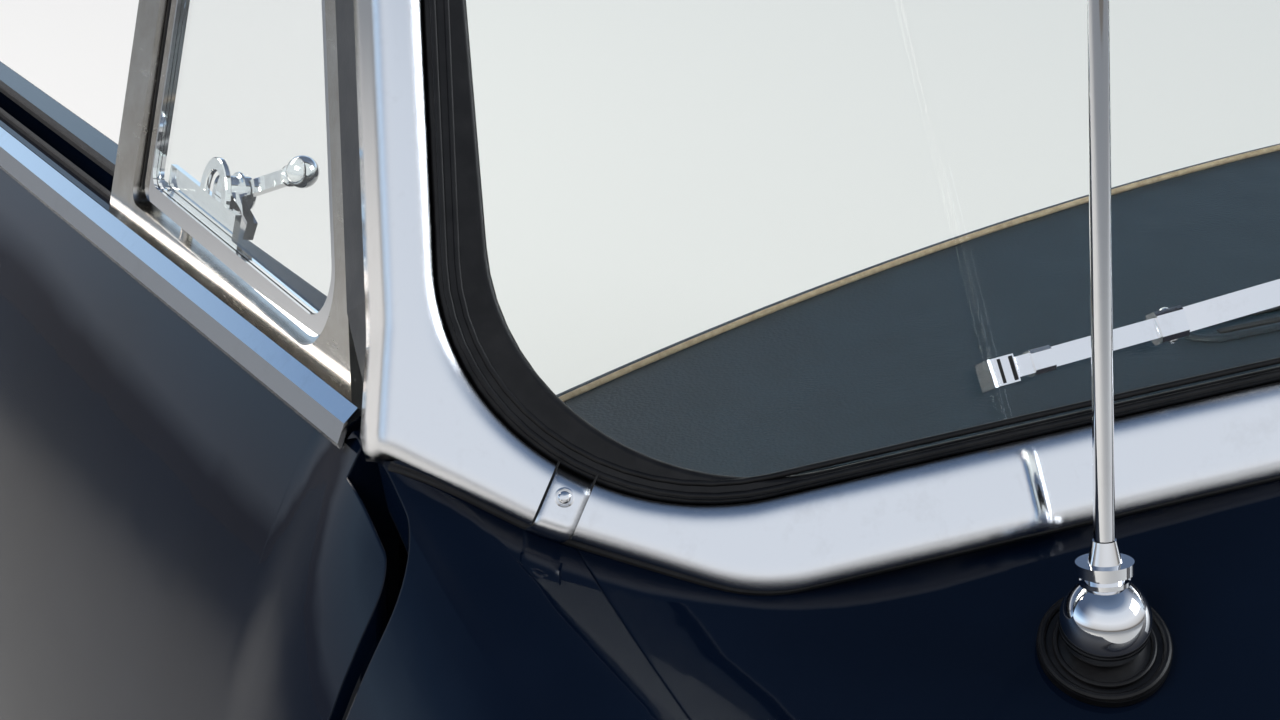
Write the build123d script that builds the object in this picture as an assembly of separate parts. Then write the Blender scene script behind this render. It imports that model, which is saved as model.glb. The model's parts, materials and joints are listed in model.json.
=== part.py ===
from build123d import *
from math import atan2, cos, degrees, hypot, radians, sin, sqrt
import os

# Scuttle and windscreen section of an open 1950s car, with its two front doors. Millimetres,
# +Z up, nose of the car towards -Y, its left side at +X. Everything is drawn with y = 0 at the
# front of the windscreen pillars' feet. It is stored with its origin midway between the bolted
# feet of the two front posts, at FOOT_Y.

os.makedirs("parts", exist_ok=True)

# Body: driving dimensions
BELT_Z = 600.0
BELT_FALL = 0.032
SILL_Z = 20.0
WIDEST_Z = 330.0
SILL_TUCK = 14.0
CROWN_R = 1400.0
VALLEY_R = 330.0
PANEL_T = 9.0
FRONT_Y = -330.0
SEAM_X = 590.0
SEAT_GAP = 0.3
SCREEN_CUT_Z = 520.0

# Sections of the body, evenly spaced ahead of the door's front and evenly along the rest of the
# door; crown_z is the height on the centre line, crest the top of the wing or of the door's
# shoulder, and widest_x the half width at WIDEST_Z
FRONT_SECTIONS = [
    # y, crown_z, crest_x, crest_z, shoulder_r, widest_x
    (-330, 515.0, 583.0, 500.0, 78.0, 709.0),
    (-295, 534.7, 586.3, 507.3, 72.2, 710.6),
    (-260, 554.9, 589.7, 514.5, 66.6, 712.2),
    (-225, 575.1, 593.4, 521.9, 60.8, 713.8),
    (-190, 595.1, 597.6, 530.0, 54.9, 715.2),
    (-155, 614.5, 602.5, 539.1, 48.7, 716.5),
    (-120, 633.0, 608.2, 549.7, 42.0, 717.7),
    (-85, 650.1, 615.0, 562.0, 34.8, 718.7),
    (-50, 665.5, 623.0, 576.6, 26.8, 719.4),
    (-15, 679.0, 632.5, 593.8, 18.0, 719.9),
    (20, 688.0, 638.0, 603.0, 13.8, 720.4),
    (55, 692.0, 639.6, 604.0, 12.4, 720.8),
]
REAR_SECTIONS = [
    (55, 692.0, 639.6, 604.0, 12.4, 720.8),
    (477.5, 680.0, 641.0, 589.0, 12.0, 724.0),
    (900, 665.0, 640.0, 573.0, 12.0, 721.0),
]

# Windscreen: a piece of a cylinder that leans back by RAKE
RAKE = 30.0
GLASS_R = 1500.0
GLASS_T = 5.5
SCREEN_Y = -138.4
SCREEN_Z = BELT_Z + 62.6
SIGHT = dict(bottom_x=613.2, bottom_s=-30.0, bottom_r=100.0, top_x=560.0, top_s=366.0, top_r=65.0)
REBATE = dict(bottom_x=636.7, bottom_s=-36.0, bottom_r=100.0, top_x=569.0, top_s=374.0, top_r=72.0)
GLASS_EDGE = 4.0
SEAL_FRONT = 8.0
SEAL_ROUND = 2.4
SURROUND_FRONT = 11.0
SURROUND_BACK = -12.0
PILLAR_BACK = -37.0
SURROUND_TOP_X = 584.0
SURROUND_TOP_S = 392.0
TIP_X = 652.0
TIP_S = 17.0
SURROUND_CORNERS = [
    # x, s, corner radius
    (533, -72, 60),
    (603, -27.5, 80),
    (TIP_X, TIP_S, 4),
    (640, 62, 60),
    (SURROUND_TOP_X, SURROUND_TOP_S, 68),
]
CLIP_X = 594.0
CLIP_S = -19.0
CLIP_ANGLE = 34.0
CLIP_W = 14.0
CLIP_RISE = 1.8
SURROUND_ROUND = 5.0
TOP_JOINT_X = 540.0
TOP_JOINT_S = 383.0
TOP_JOINT_ANGLE = 0.0
HEADER_END_X = 545.0
PILLAR_OUTER_X = 636.0
PILLAR_FOOT_Z = 570.0

# Doors
DOOR_FRONT_Y = -28.0
DOOR_REAR_Y = 880.0
DOOR_BOTTOM_Z = 28.0
DOOR_INNER_X = 588.0
DOOR_STEP_Y = 55.0
NOSE_INNER_X = 655.0
NOSE_STEP_Y = 16.0
SHOULDER_INNER_X = 634.0
NOSE_CORNER_R = 8.0
SHUT_GAP = 9.0
DOOR_CLEAR = 5.2
NOSE_REACH_X = 651.4
NOSE_TOP_Z = 583.0
HINGE_X = 706.0
HINGE_Y = -2.0
HINGE_HEIGHTS = (190.0, 360.0)
HINGE_PIN_R = 4.0
PIN_CLEARANCE = 0.05
KNUCKLE_R = 6.5
HINGE_LEAF_H = 30.0
HINGE_LEAF_T = 5.0
HINGE_LEAF_X = (633.0, 660.0)
HINGE_POCKET_H = 41.0
HINGE_POCKET_REAR = 13.0
ARM_ELBOW_X = 655.0
ARM_ELBOW_Y = -7.0
ARM_HALF_W = 5.5

# Front posts and bulkhead
POST_INNER_X = 588.0
POST_OUTER_X = 660.0
POST_NECK_X = 622.0
POST_FRONT_Y = -150.0
POST_REAR_Y = -68.0
POST_NECK_REAR_Y = 48.0
FOOT_Y = (POST_FRONT_Y + POST_REAR_Y) / 2
POST_NECK_Z = 430.0
BRACE_H = 110.0
FOOT_T = 8.0
FOOT_BOLT_R = 5.5
FOOT_BOLT_X = 685.0
FOOT_BOLT_SPACING = 50.0
BULKHEAD_Y = -125.0
BULKHEAD_T = 12.0
BULKHEAD_FLANGE = 40.0
SWAGE_HEIGHTS = (180.0, 340.0)
SWAGE_R = 9.0
SWAGE_END = 60.0

# Dashboard
DASH_CROWN_Z = 628.0
DASH_CROWN_R = 3200.0
DASH_T = 16.0
DASH_EDGE_Y = 57.8
DASH_EDGE_BOW = 47.2
DASH_BOTTOM_Z = 455.0
DASH_PANEL_T = 14.0

# Door top, vent window and moulding, laid out on a side plane that leans in by TUMBLEHOME
TUMBLEHOME = 12.0
SIDE_X = 632.0
VENT_FRAME_T = 16.0
VENT_REAR_Y = 352.0
VENT_POST_W = 28.0
VENT_FRONT_Y = 47.0
VENT_LEAN = 0.531
VENT_TOP = 330.0
VENT_BAR = 11.0
VENT_SILL = 7.0
VENT_GAP = 4.0
SASH_BAR = 8.0
VENT_PIVOT_Y = 268.0
VENT_PIVOT_R = 3.0
VENT_GLASS_T = 4.0
VENT_PIN_L = 16.0
LATCH_TAB = (262.0, 22.0, 86.0, 18.0)
LATCH_TAB_T = 3.0
MOULDING_X = 644.0
MOULDING_FRONT_Y = 22.5
MOULDING_SECTION = [
    # out from MOULDING_X, up from the belt
    (0, 0.2),
    (0, 10),
    (3, 12.5),
    (9, 7),
    (12, -1),
    (11, -3.5),
    (9.2, -3.5),
    (9.2, 0.2),
]
LATCH_PIVOT = (250.0, 33.0)
LATCH_BALL = (182.0, 62.0)
LATCH_BOSS_R = 8.0
LATCH_BOSS_T = 14.0
LATCH_BAR = (6.5, 5.0)
LATCH_BALL_R = 6.0
LATCH_TAIL = (32.0, 9.0, 5.0)
LATCH_TAIL_ANGLE = 40.0
HANDLE_X = 752.0
HANDLE_REACH = 60.0
HANDLE_Y = 790.0
HANDLE_Z = 500.0
HANDLE_GRIP = (8.0, 150.0)
TRIM_T = 6.0
ARMREST = (60.0, 430.0, 700.0, 330.0, 368.0)
GLASS_SLOT_W = 16.0
GLASS_SLOT_DEPTH = 60.0

# Wipers: alike and parked to the right, on spindles square to the glass; turns are angles round
# the glass cylinder, and a blade's own frame lies on the glass where it is parked
WIPER_TURNS = {"right": -1.15, "left": 14.28}
WIPER_S = -92.0
BOSS_R = 12.0
BOSS_TOP = 28.0
HUB_R = 10.0
HUB_TOP = 42.0
SPINDLE_R = 4.0
SPINDLE_FOOT = 21.0
RUN_GAP = 0.5
ARM_ANGLE = 160.0
KNUCKLE_X = 26.0
KNUCKLE_Z = 35.0
KNUCKLE_PIN_R = 2.5
TONGUE_W = 8.0
CHEEK_GAP = 0.6
CHEEK_T = 4.0
CHEEK_END_X = 42.0
CHANNEL_END_X = 62.0
ARM_END_X = 264.0
ARM_T = 5.0
BLADE_TURN = -9.38
BLADE_RISE = 91.0
BLADE_ANGLE = 182.9
BLADE_GAP = 1.5
BLADE_BOW_R = 1800.0
BLADE_L = 326.0
RUBBER_H = 5.0
RUBBER_W = 4.0
HOLDER_H = 9.0
HOLDER_W = 8.0
BRIDGE_HALF = 86.0
BRIDGE_TOP = 29.0
BRIDGE_W = 10.0
BRIDGE_T = 7.0
END_CAP_L = 11.0

# Aerial, drawn on the left wing and mirrored to the right one; heights run up the mast
AERIAL_X = 427.0
AERIAL_Y = -172.0
AERIAL_Z = 546.0
AERIAL_LEAN = 6.5
WING_NORMAL = (0.24, -0.44, 0.864)
PAD_R = 25.5
PAD_T = 4.0
BALL_R = 17.5
BALL_Z = 8.0
COLLARS = [
    # z from the ball's centre, height, radius
    (12.5, 4.0, 9.5),
    (16.5, 2.5, 7.5),
    (19.0, 4.5, 11.0),
]
FERRULE_TOP = 32.0
TUBE_R = 4.0
TUBE_BORE_R = 3.0
MIDDLE_BORE_R = 1.85
MAST_GAP = 0.05
TUBE_L = 330.0
MIDDLE_L = 300.0
TIP_L = 280.0
MAST_LAP = 20.0
TIP_BALL_R = 4.0

BIG = 2000.0


def save(name, shape):
    """Write one sub-part, moved to the stored origin."""
    placed = Pos(0, -FOOT_Y, 0) * shape
    placed.label = name
    export_step(placed, "parts/" + name + ".step")


def save_pair(stem, left):
    """Write a left-hand piece and its mirror image on the right."""
    save(stem + "_left", left)
    save(stem + "_right", mirror(left, about=Plane.YZ))


def arc_on(centre, radius, start, end, y):
    """Arc of a body section in the plane at y, from start to end, all given as (x, z)."""
    mid_x = (start[0] + end[0]) / 2 - centre[0]
    mid_z = (start[1] + end[1]) / 2 - centre[1]
    k = radius / hypot(mid_x, mid_z)
    mid = (centre[0] + mid_x * k, y, centre[1] + mid_z * k)
    return ThreePointArc((start[0], y, start[1]), mid, (end[0], y, end[1]))


def between(start, end, distance):
    """Point on the way from start to end, both (x, z), at a distance from start."""
    k = distance / hypot(end[0] - start[0], end[1] - start[1])
    return (start[0] + (end[0] - start[0]) * k, start[1] + (end[1] - start[1]) * k)


def section_arcs(row, inset, bottom_z):
    """Arcs of one half section, all tangent: crown, valley, shoulder, side and tuck-in."""
    y, crown_z, crest_x, crest_z, shoulder_r, widest_x = row
    crown = (0.0, crown_z - CROWN_R)
    shoulder = (crest_x, crest_z - shoulder_r)
    span = hypot(shoulder[0] - crown[0], shoulder[1] - crown[1])
    reach_crown = CROWN_R + VALLEY_R
    reach_shoulder = shoulder_r + VALLEY_R
    along = (reach_crown**2 - reach_shoulder**2 + span**2) / (2 * span)
    off = sqrt(reach_crown**2 - along**2)
    unit = ((shoulder[0] - crown[0]) / span, (shoulder[1] - crown[1]) / span)
    valley = (crown[0] + unit[0] * along - unit[1] * off, crown[1] + unit[1] * along + unit[0] * off)
    drop_x = crest_x - widest_x
    drop_z = shoulder[1] - WIDEST_Z
    side_r = (shoulder_r**2 - drop_x**2 - drop_z**2) / (2 * (drop_x + shoulder_r))
    side = (widest_x - side_r, WIDEST_Z)
    tuck_r = (SILL_TUCK**2 + (WIDEST_Z - SILL_Z) ** 2) / (2 * SILL_TUCK)
    tuck = (widest_x - tuck_r, WIDEST_Z)
    top = (0.0, crown_z - inset)
    to_valley = between(crown, valley, CROWN_R - inset)
    to_shoulder = between(shoulder, valley, shoulder_r - inset)
    to_side = between(side, shoulder, side_r - inset)
    widest = (widest_x - inset, WIDEST_Z)
    foot = (tuck[0] + sqrt((tuck_r - inset) ** 2 - (WIDEST_Z - bottom_z) ** 2), bottom_z)
    return [
        arc_on(crown, CROWN_R - inset, top, to_valley, y),
        arc_on(valley, VALLEY_R + inset, to_valley, to_shoulder, y),
        arc_on(shoulder, shoulder_r - inset, to_shoulder, to_side, y),
        arc_on(side, side_r - inset, to_side, widest, y),
        arc_on(tuck, tuck_r - inset, widest, foot, y),
    ]


def body_section(row, inset, bottom_z):
    """Face of one half section, filled to the centre line and to bottom_z."""
    arcs = section_arcs(row, inset, bottom_z)
    top, foot = arcs[0] @ 0, arcs[-1] @ 1
    corner = (0, row[0], bottom_z)
    return make_face(arcs + [Line(foot, corner), Line(corner, top)])


def panel_section(row):
    """Face of one half section of the outer panel, PANEL_T thick."""
    outer = section_arcs(row, 0, SILL_Z)
    inner = section_arcs(row, PANEL_T, SILL_Z)
    ends = [Line(outer[0] @ 0, inner[0] @ 0), Line(outer[-1] @ 1, inner[-1] @ 1)]
    return make_face(outer + inner + ends)


def body_half(inset, bottom_z=SILL_Z):
    """Left half of the body as a solid, its outer surface moved inwards by inset."""
    front = loft([body_section(row, inset, bottom_z) for row in FRONT_SECTIONS])
    return front + loft([body_section(row, inset, bottom_z) for row in REAR_SECTIONS])


def whole(half):
    """A left half and its mirror image as one solid."""
    return half + mirror(half, about=Plane.YZ)


def block(x0, x1, y0, y1, z0, z1):
    """Box between two corners."""
    return Pos((x0 + x1) / 2, (y0 + y1) / 2, (z0 + z1) / 2) * Box(x1 - x0, y1 - y0, z1 - z0)


# The windscreen's own frame: x across, y up the glass (called s), z out of it (called h),
# with its origin on the glass's outer face on the centre line
SCREEN = Plane(
    origin=(0, SCREEN_Y, SCREEN_Z),
    x_dir=(1, 0, 0),
    z_dir=(0, -cos(radians(RAKE)), sin(radians(RAKE))),
)


def glass_sag(x):
    """How far the glass cylinder has fallen back at x."""
    return GLASS_R - sqrt(GLASS_R**2 - x**2)


def screen_point(x, s, h):
    """Point in the body's frame from glass coordinates, h counted from the glass's outer face."""
    return SCREEN.from_local_coords(Vector(x, s, h - glass_sag(x)))


def screen_cylinder(h):
    """Solid cylinder whose wall is the glass's outer face moved out by h."""
    return SCREEN.location * (Pos(0, 0, -GLASS_R) * Rot(90, 0, 0) * Cylinder(GLASS_R + h, 3 * BIG))


def screen_prism(face):
    """Outline in the glass's frame, drawn right through it."""
    return SCREEN.location * (Pos(0, 0, -300) * extrude(face, 400))


def screen_band(face, back, front):
    """Outline bent round the glass, between two heights from its outer face."""
    return (screen_prism(face) & screen_cylinder(front)) - screen_cylinder(back)


def trapezium(grow=0.0, **edge):
    """Screen outline with round corners from its bottom and top corners, grown if asked."""
    bottom = (edge["bottom_x"] + grow, edge["bottom_s"] - grow)
    top = (edge["top_x"] + grow, edge["top_s"] + grow)
    corners = [bottom, top, (-top[0], top[1]), (-bottom[0], bottom[1])]
    radii = [edge["bottom_r"] + grow, edge["top_r"] + grow] * 2
    radii = [radii[0], radii[1], radii[1], radii[0]]
    return make_face(FilletPolyline(*corners, radius=radii, close=True))


def surround_outline():
    """Outer edge of the bright surround, with a pointed foot at each pillar."""
    half = SURROUND_CORNERS
    points = [(x, s) for x, s, _ in half] + [(-x, s) for x, s, _ in reversed(half)]
    radii = [r for _, _, r in half] + [r for _, _, r in reversed(half)]
    return make_face(FilletPolyline(*points, radius=radii, close=True))


# Bodies that everything else is trimmed to
body = body_half(0)
lining_body = body_half(PANEL_T + SEAT_GAP, -30)
seat_body = whole(body_half(-SEAT_GAP))


def door_footprint(grow):
    """Plan of the door, open at the back and outside, grown by the shut gap for its opening."""
    corner = NOSE_CORNER_R + grow
    nose = FilletPolyline(
        (BIG, DOOR_FRONT_Y - grow),
        (NOSE_INNER_X - grow, DOOR_FRONT_Y - grow),
        (NOSE_INNER_X - grow, NOSE_STEP_Y - grow),
        radius=[corner],
    )
    rest = Polyline(
        (NOSE_INNER_X - grow, NOSE_STEP_Y - grow),
        (SHOULDER_INNER_X - grow, NOSE_STEP_Y - grow),
        (SHOULDER_INNER_X - grow, DOOR_STEP_Y - grow),
        (DOOR_INNER_X - grow, DOOR_STEP_Y - grow),
        (DOOR_INNER_X - grow, BIG),
        (BIG, BIG),
        (BIG, DOOR_FRONT_Y - grow),
    )
    return Pos(0, 0, -100) * extrude(make_face([nose, rest]), 900)


def door_side_view():
    """Side view of the door, drawn through the body from side to side."""
    top_rear = BELT_Z - BELT_FALL * DOOR_REAR_Y
    outline = FilletPolyline(
        (DOOR_FRONT_Y, DOOR_BOTTOM_Z),
        (DOOR_FRONT_Y, BELT_Z),
        (0, BELT_Z),
        (DOOR_REAR_Y, top_rear),
        (DOOR_REAR_Y, DOOR_BOTTOM_Z),
        radius=[20, 5, 5, 8, 60],
        close=True,
    )
    face = make_face([Plane.YZ.location * edge for edge in outline.edges()])
    return extrude(face, BIG, dir=(1, 0, 0))


def hinge_pockets():
    """Spaces in the door's nose where the hinge arms swing."""
    pockets = []
    for z in HINGE_HEIGHTS:
        low, high = z - HINGE_POCKET_H / 2, z + HINGE_POCKET_H / 2
        skin_x = HINGE_X + KNUCKLE_R + 1.5
        rear_y = HINGE_Y + HINGE_POCKET_REAR
        pockets.append(block(DOOR_INNER_X - 5, skin_x, DOOR_FRONT_Y - 5, rear_y, low, high))
    return pockets


def door_shell():
    """Door as thick as its wall, with hinge pockets, hinge pins and the window slot."""
    shell = body & door_side_view() & door_footprint(0)
    for pocket in hinge_pockets():
        shell -= pocket
    slot_x = SIDE_X - 6
    shell -= block(slot_x - GLASS_SLOT_W, slot_x, VENT_REAR_Y + 6, DOOR_REAR_Y - 30,
                   BELT_Z - GLASS_SLOT_DEPTH, BELT_Z + 10)
    for z in HINGE_HEIGHTS:
        shell += Pos(HINGE_X, HINGE_Y, z) * Cylinder(HINGE_PIN_R, HINGE_POCKET_H + 6)
    return shell


def hinge_arms():
    """Two goose-neck arms from the post's rear face to the hinge pins, as one piece each."""
    outline = Polyline(
        (HINGE_X, HINGE_Y + ARM_HALF_W),
        (ARM_ELBOW_X - ARM_HALF_W, ARM_ELBOW_Y + ARM_HALF_W),
        (ARM_ELBOW_X - ARM_HALF_W, POST_REAR_Y),
        (ARM_ELBOW_X + ARM_HALF_W, POST_REAR_Y),
        (ARM_ELBOW_X + ARM_HALF_W, ARM_ELBOW_Y - ARM_HALF_W),
        (HINGE_X, HINGE_Y - ARM_HALF_W),
        close=True,
    )
    half_h = HINGE_LEAF_H / 2
    neck = extrude(make_face(outline), half_h, both=True)
    foot = block(*HINGE_LEAF_X, POST_REAR_Y, POST_REAR_Y + HINGE_LEAF_T, -half_h, half_h)
    knuckle = Pos(HINGE_X, HINGE_Y, 0) * Cylinder(KNUCKLE_R, HINGE_LEAF_H)
    bore = Pos(HINGE_X, HINGE_Y, 0) * Cylinder(HINGE_PIN_R + PIN_CLEARANCE, HINGE_LEAF_H + 2)
    arm = neck + foot + knuckle - bore
    return Compound([Pos(0, 0, z) * arm for z in HINGE_HEIGHTS])


def post_blank(grow):
    """Front post before its foot: box section, and the neck that reaches back under the pillar."""
    inner, outer, neck_x = POST_INNER_X - grow, POST_OUTER_X + grow, POST_NECK_X + grow
    front, neck_rear = POST_FRONT_Y - grow, POST_NECK_REAR_Y + grow
    lower = block(inner, outer, front, POST_REAR_Y + grow, 0, POST_NECK_Z + grow)
    neck = block(inner, neck_x, front, neck_rear, POST_NECK_Z - grow, BELT_Z + 50)
    brace_outline = Polyline(
        (POST_REAR_Y, POST_NECK_Z),
        (POST_NECK_REAR_Y, POST_NECK_Z),
        (POST_REAR_Y, POST_NECK_Z - BRACE_H),
        close=True,
    )
    brace_face = make_face([Plane.YZ.location * edge for edge in brace_outline.edges()])
    brace = Pos(inner, 0, 0) * extrude(brace_face, neck_x - inner, dir=(1, 0, 0))
    return (lower + neck + brace) & lining_body


def front_post():
    """Front post with its bolted foot."""
    post = post_blank(0)
    foot = block(POST_INNER_X, FOOT_BOLT_X + 18, POST_FRONT_Y, POST_REAR_Y, 0, FOOT_T)
    post += foot
    for step in (-0.5, 0.5):
        post -= Pos(FOOT_BOLT_X, FOOT_Y + step * FOOT_BOLT_SPACING, 0) * Cylinder(FOOT_BOLT_R, 4 * FOOT_T)
    return post


def bulkhead():
    """Pressed wall between the posts, with a bottom flange and two stiffening swages."""
    half_x = POST_INNER_X - SEAT_GAP
    wall = block(0, half_x, BULKHEAD_Y, BULKHEAD_Y + BULKHEAD_T, 0, 2 * BELT_Z)
    wall += block(0, half_x, BULKHEAD_Y, BULKHEAD_Y + BULKHEAD_FLANGE, 0, FOOT_T)
    for z in SWAGE_HEIGHTS:
        swage = Pos(0, BULKHEAD_Y, z) * Rot(0, 90, 0) * Cylinder(SWAGE_R, 2 * (half_x - SWAGE_END))
        wall += swage & block(0, half_x, BULKHEAD_Y - 2 * SWAGE_R, BULKHEAD_Y + 1, 0, BELT_Z)
    wall &= crown_solid(DASH_CROWN_Z - DASH_T - SEAT_GAP)
    return whole(wall & lining_body)


def cowl_and_wings():
    """Painted shell ahead of the screen and the doors, split at the seam below each clip."""
    shell = loft([panel_section(row) for row in FRONT_SECTIONS])
    shell &= block(-1, BIG, FRONT_Y, POST_NECK_REAR_Y, SILL_Z, BIG)
    shell -= screen_cylinder(SURROUND_BACK) & block(-1, BIG, -BIG, BIG, SCREEN_CUT_Z, BIG)
    shell -= door_footprint(SHUT_GAP)
    middle = whole(shell & block(-1, SEAM_X, -BIG, BIG, SILL_Z, BIG))
    side = shell & block(SEAM_X + SEAT_GAP, BIG, -BIG, BIG, SILL_Z, BIG)
    return middle, max(side.solids(), key=lambda solid: solid.volume)


def surround_blank(grow):
    """Surround in one piece, rounded, before it is seated and cut at its joints."""
    ring = offset(surround_outline(), grow) - trapezium(**REBATE)
    band = screen_band(ring, SURROUND_BACK, SURROUND_FRONT + grow)
    return fillet(front_face(band).edges(), SURROUND_ROUND + grow)


def surround():
    """Bright surround: lower bar, two pillar pieces and the top bar, cut at their joints."""
    band = surround_blank(0) - seat_body - whole(door_clearance())
    for side in (-1, 1):
        band -= joint_wall(side * CLIP_X, CLIP_S, side * CLIP_ANGLE)
        band -= joint_wall(side * TOP_JOINT_X, TOP_JOINT_S, side * TOP_JOINT_ANGLE)
    return band.solids()


def joint_wall(x, s, angle, width=0.3):
    """Thin wall across the surround, its face turned by angle from the x axis."""
    return SCREEN.location * (Pos(x, s, 0) * Rot(0, 0, angle) * Box(width, 110, 800))


def door_clearance():
    """Room that the fixed pieces leave round the door's nose, at rest and in its swing."""
    at_rest = body_half(-DOOR_CLEAR) & door_footprint(DOOR_CLEAR)
    low_y = DOOR_FRONT_Y - DOOR_CLEAR
    swing = block(NOSE_REACH_X - DOOR_CLEAR, 900, low_y, NOSE_STEP_Y, 500, NOSE_TOP_Z + DOOR_CLEAR)
    return at_rest + swing


def joint_clip():
    """Bright clip strapped over the joint between two pieces of the surround."""
    strap = SCREEN.location * (Pos(CLIP_X, CLIP_S, 0) * Rot(0, 0, CLIP_ANGLE) * Box(CLIP_W, 60, 800))
    strap -= screen_cylinder(SURROUND_BACK + 6)
    return (surround_blank(CLIP_RISE) & strap) - surround_blank(SEAT_GAP) - seat_body


def front_face(band):
    """The large outer face of a band bent round the glass."""
    return band.faces().filter_by(GeomType.CYLINDER).sort_by(SortBy.AREA)[-2:].sort_by(Axis.Y)[0]


def bar_band(grow):
    """Ring behind the surround and round the glass that the pillars and header are cut from."""
    ring = offset(surround_outline(), grow - 1.5) - trapezium(grow=1.0 - grow, **SIGHT)
    return screen_band(ring, PILLAR_BACK - grow, SURROUND_BACK - SEAT_GAP + grow)


def header_rail():
    """Rail across the top, behind the surround."""
    return bar_band(0) & SCREEN.location * Pos(0, SURROUND_TOP_S, 0) * Box(2 * HEADER_END_X, 120, 800)


def pillar():
    """Windscreen pillar, from the header's end down to the neck of the front post."""
    post = bar_band(0) & block(0, PILLAR_OUTER_X, -BIG, BIG, PILLAR_FOOT_Z, BIG)
    post -= SCREEN.location * Box(2 * HEADER_END_X + 2 * SEAT_GAP, BIG, 800)
    post -= door_clearance()
    return post - post_blank(SEAT_GAP)


def windscreen_glass():
    """Curved pane, one layer, held in the seal all round."""
    return screen_band(trapezium(GLASS_EDGE, **SIGHT), -GLASS_T, 0)


def windscreen_seal():
    """Black rubber seal: lips in front of and behind the pane, and a web round its edge."""
    ring = trapezium(-SEAT_GAP, **REBATE) - trapezium(**SIGHT)
    seal = screen_band(ring, SURROUND_BACK, SEAL_FRONT)
    seal = fillet(front_face(seal).edges(), SEAL_ROUND)
    seal -= screen_band(trapezium(GLASS_EDGE + SEAT_GAP, **SIGHT), -GLASS_T - SEAT_GAP, SEAT_GAP)
    return seal - seat_body


def side_plane(x=SIDE_X):
    """Left side plane: x runs aft, y up the leaning window, z outwards."""
    lean = radians(TUMBLEHOME)
    return Plane(origin=(x, 0, BELT_Z), x_dir=(0, 1, 0), z_dir=(cos(lean), 0, sin(lean)))


def lean_line(offset_y, w):
    """Distance aft of the vent window's raked front line at height w."""
    return VENT_FRONT_Y + offset_y + VENT_LEAN * w


def vent_slab(face, low, high):
    """Slab of the side plane between two heights from it."""
    return side_plane().location * (Pos(0, 0, low) * extrude(face, high - low))


def vent_opening_points(inset):
    """Corners of the vent frame's opening, inset from the frame's bars."""
    rear = VENT_REAR_Y - VENT_POST_W
    return rear - inset, VENT_SILL + inset, VENT_TOP - VENT_BAR - inset


def opening_outline(inset, corner):
    """Opening of the vent frame, or a smaller outline inside it."""
    rear, low, high = vent_opening_points(inset)
    slant = (VENT_BAR + inset) / cos(atan2(VENT_LEAN, 1.0))
    points = [(lean_line(slant, low), low), (rear, low), (rear, high), (lean_line(slant, high), high)]
    return make_face(FilletPolyline(*points, radius=[corner, 8, 8, 10], close=True))


def vent_pins(radius, length):
    """Bottom and top pivots of the vent window, on one line up the side plane."""
    pins = []
    for w in (VENT_SILL, VENT_TOP - VENT_BAR):
        pin = Pos(VENT_PIVOT_Y, w, 0) * Rot(90, 0, 0) * Cylinder(radius, length)
        pins.append(side_plane().location * pin)
    return pins


def vent_blank(grow):
    """Outer form of the vent frame, before its opening."""
    rear = VENT_REAR_Y + grow
    outer = make_face(Polyline(
        (lean_line(-grow, -2), -2),
        (rear, -2 - BELT_FALL * VENT_REAR_Y),
        (rear, VENT_TOP),
        (lean_line(-grow, VENT_TOP), VENT_TOP),
        close=True,
    ))
    return vent_slab(outer, -VENT_FRAME_T / 2 - grow, VENT_FRAME_T / 2 + grow)


def vent_frame():
    """Bright frame that stands on the door's top and holds the vent window."""
    frame = vent_blank(0) - vent_slab(opening_outline(0, 28), -VENT_FRAME_T, VENT_FRAME_T)
    frame -= door_top_space(-400, 0)
    return Part() + [frame] + vent_pins(VENT_PIVOT_R, VENT_PIN_L)


def door_top_space(low, high):
    """Slab between two heights above the door's falling top."""
    rear_z = BELT_Z - BELT_FALL * DOOR_REAR_Y
    outline = Polyline(
        (-100, BELT_Z + low),
        (0, BELT_Z + low),
        (DOOR_REAR_Y, rear_z + low),
        (DOOR_REAR_Y, rear_z + high),
        (0, BELT_Z + high),
        (-100, BELT_Z + high),
        close=True,
    )
    face = make_face([Plane.YZ.location * edge for edge in outline.edges()])
    return extrude(face, 900, dir=(1, 0, 0))


def vent_sash():
    """Sash of the vent window: a bright channel round the glass, bored for its two pivots."""
    ring = opening_outline(VENT_GAP, 24) - opening_outline(VENT_GAP + SASH_BAR, 18)
    sash = vent_slab(ring, -SASH_BAR / 2, SASH_BAR / 2)
    tab_y, tab_w, tab_l, tab_h = LATCH_TAB
    tab = Pos(tab_y, tab_w) * Rectangle(tab_l, tab_h)
    sash += vent_slab(tab, -SASH_BAR / 2 - LATCH_TAB_T, -SASH_BAR / 2)
    for bore in vent_pins(VENT_PIVOT_R + PIN_CLEARANCE, VENT_PIN_L + 2):
        sash -= bore
    return sash


def vent_glass():
    """Pane held in the sash."""
    pane = opening_outline(VENT_GAP + SASH_BAR + SEAT_GAP, 18)
    return vent_slab(pane, -VENT_GLASS_T / 2, VENT_GLASS_T / 2)


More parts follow.
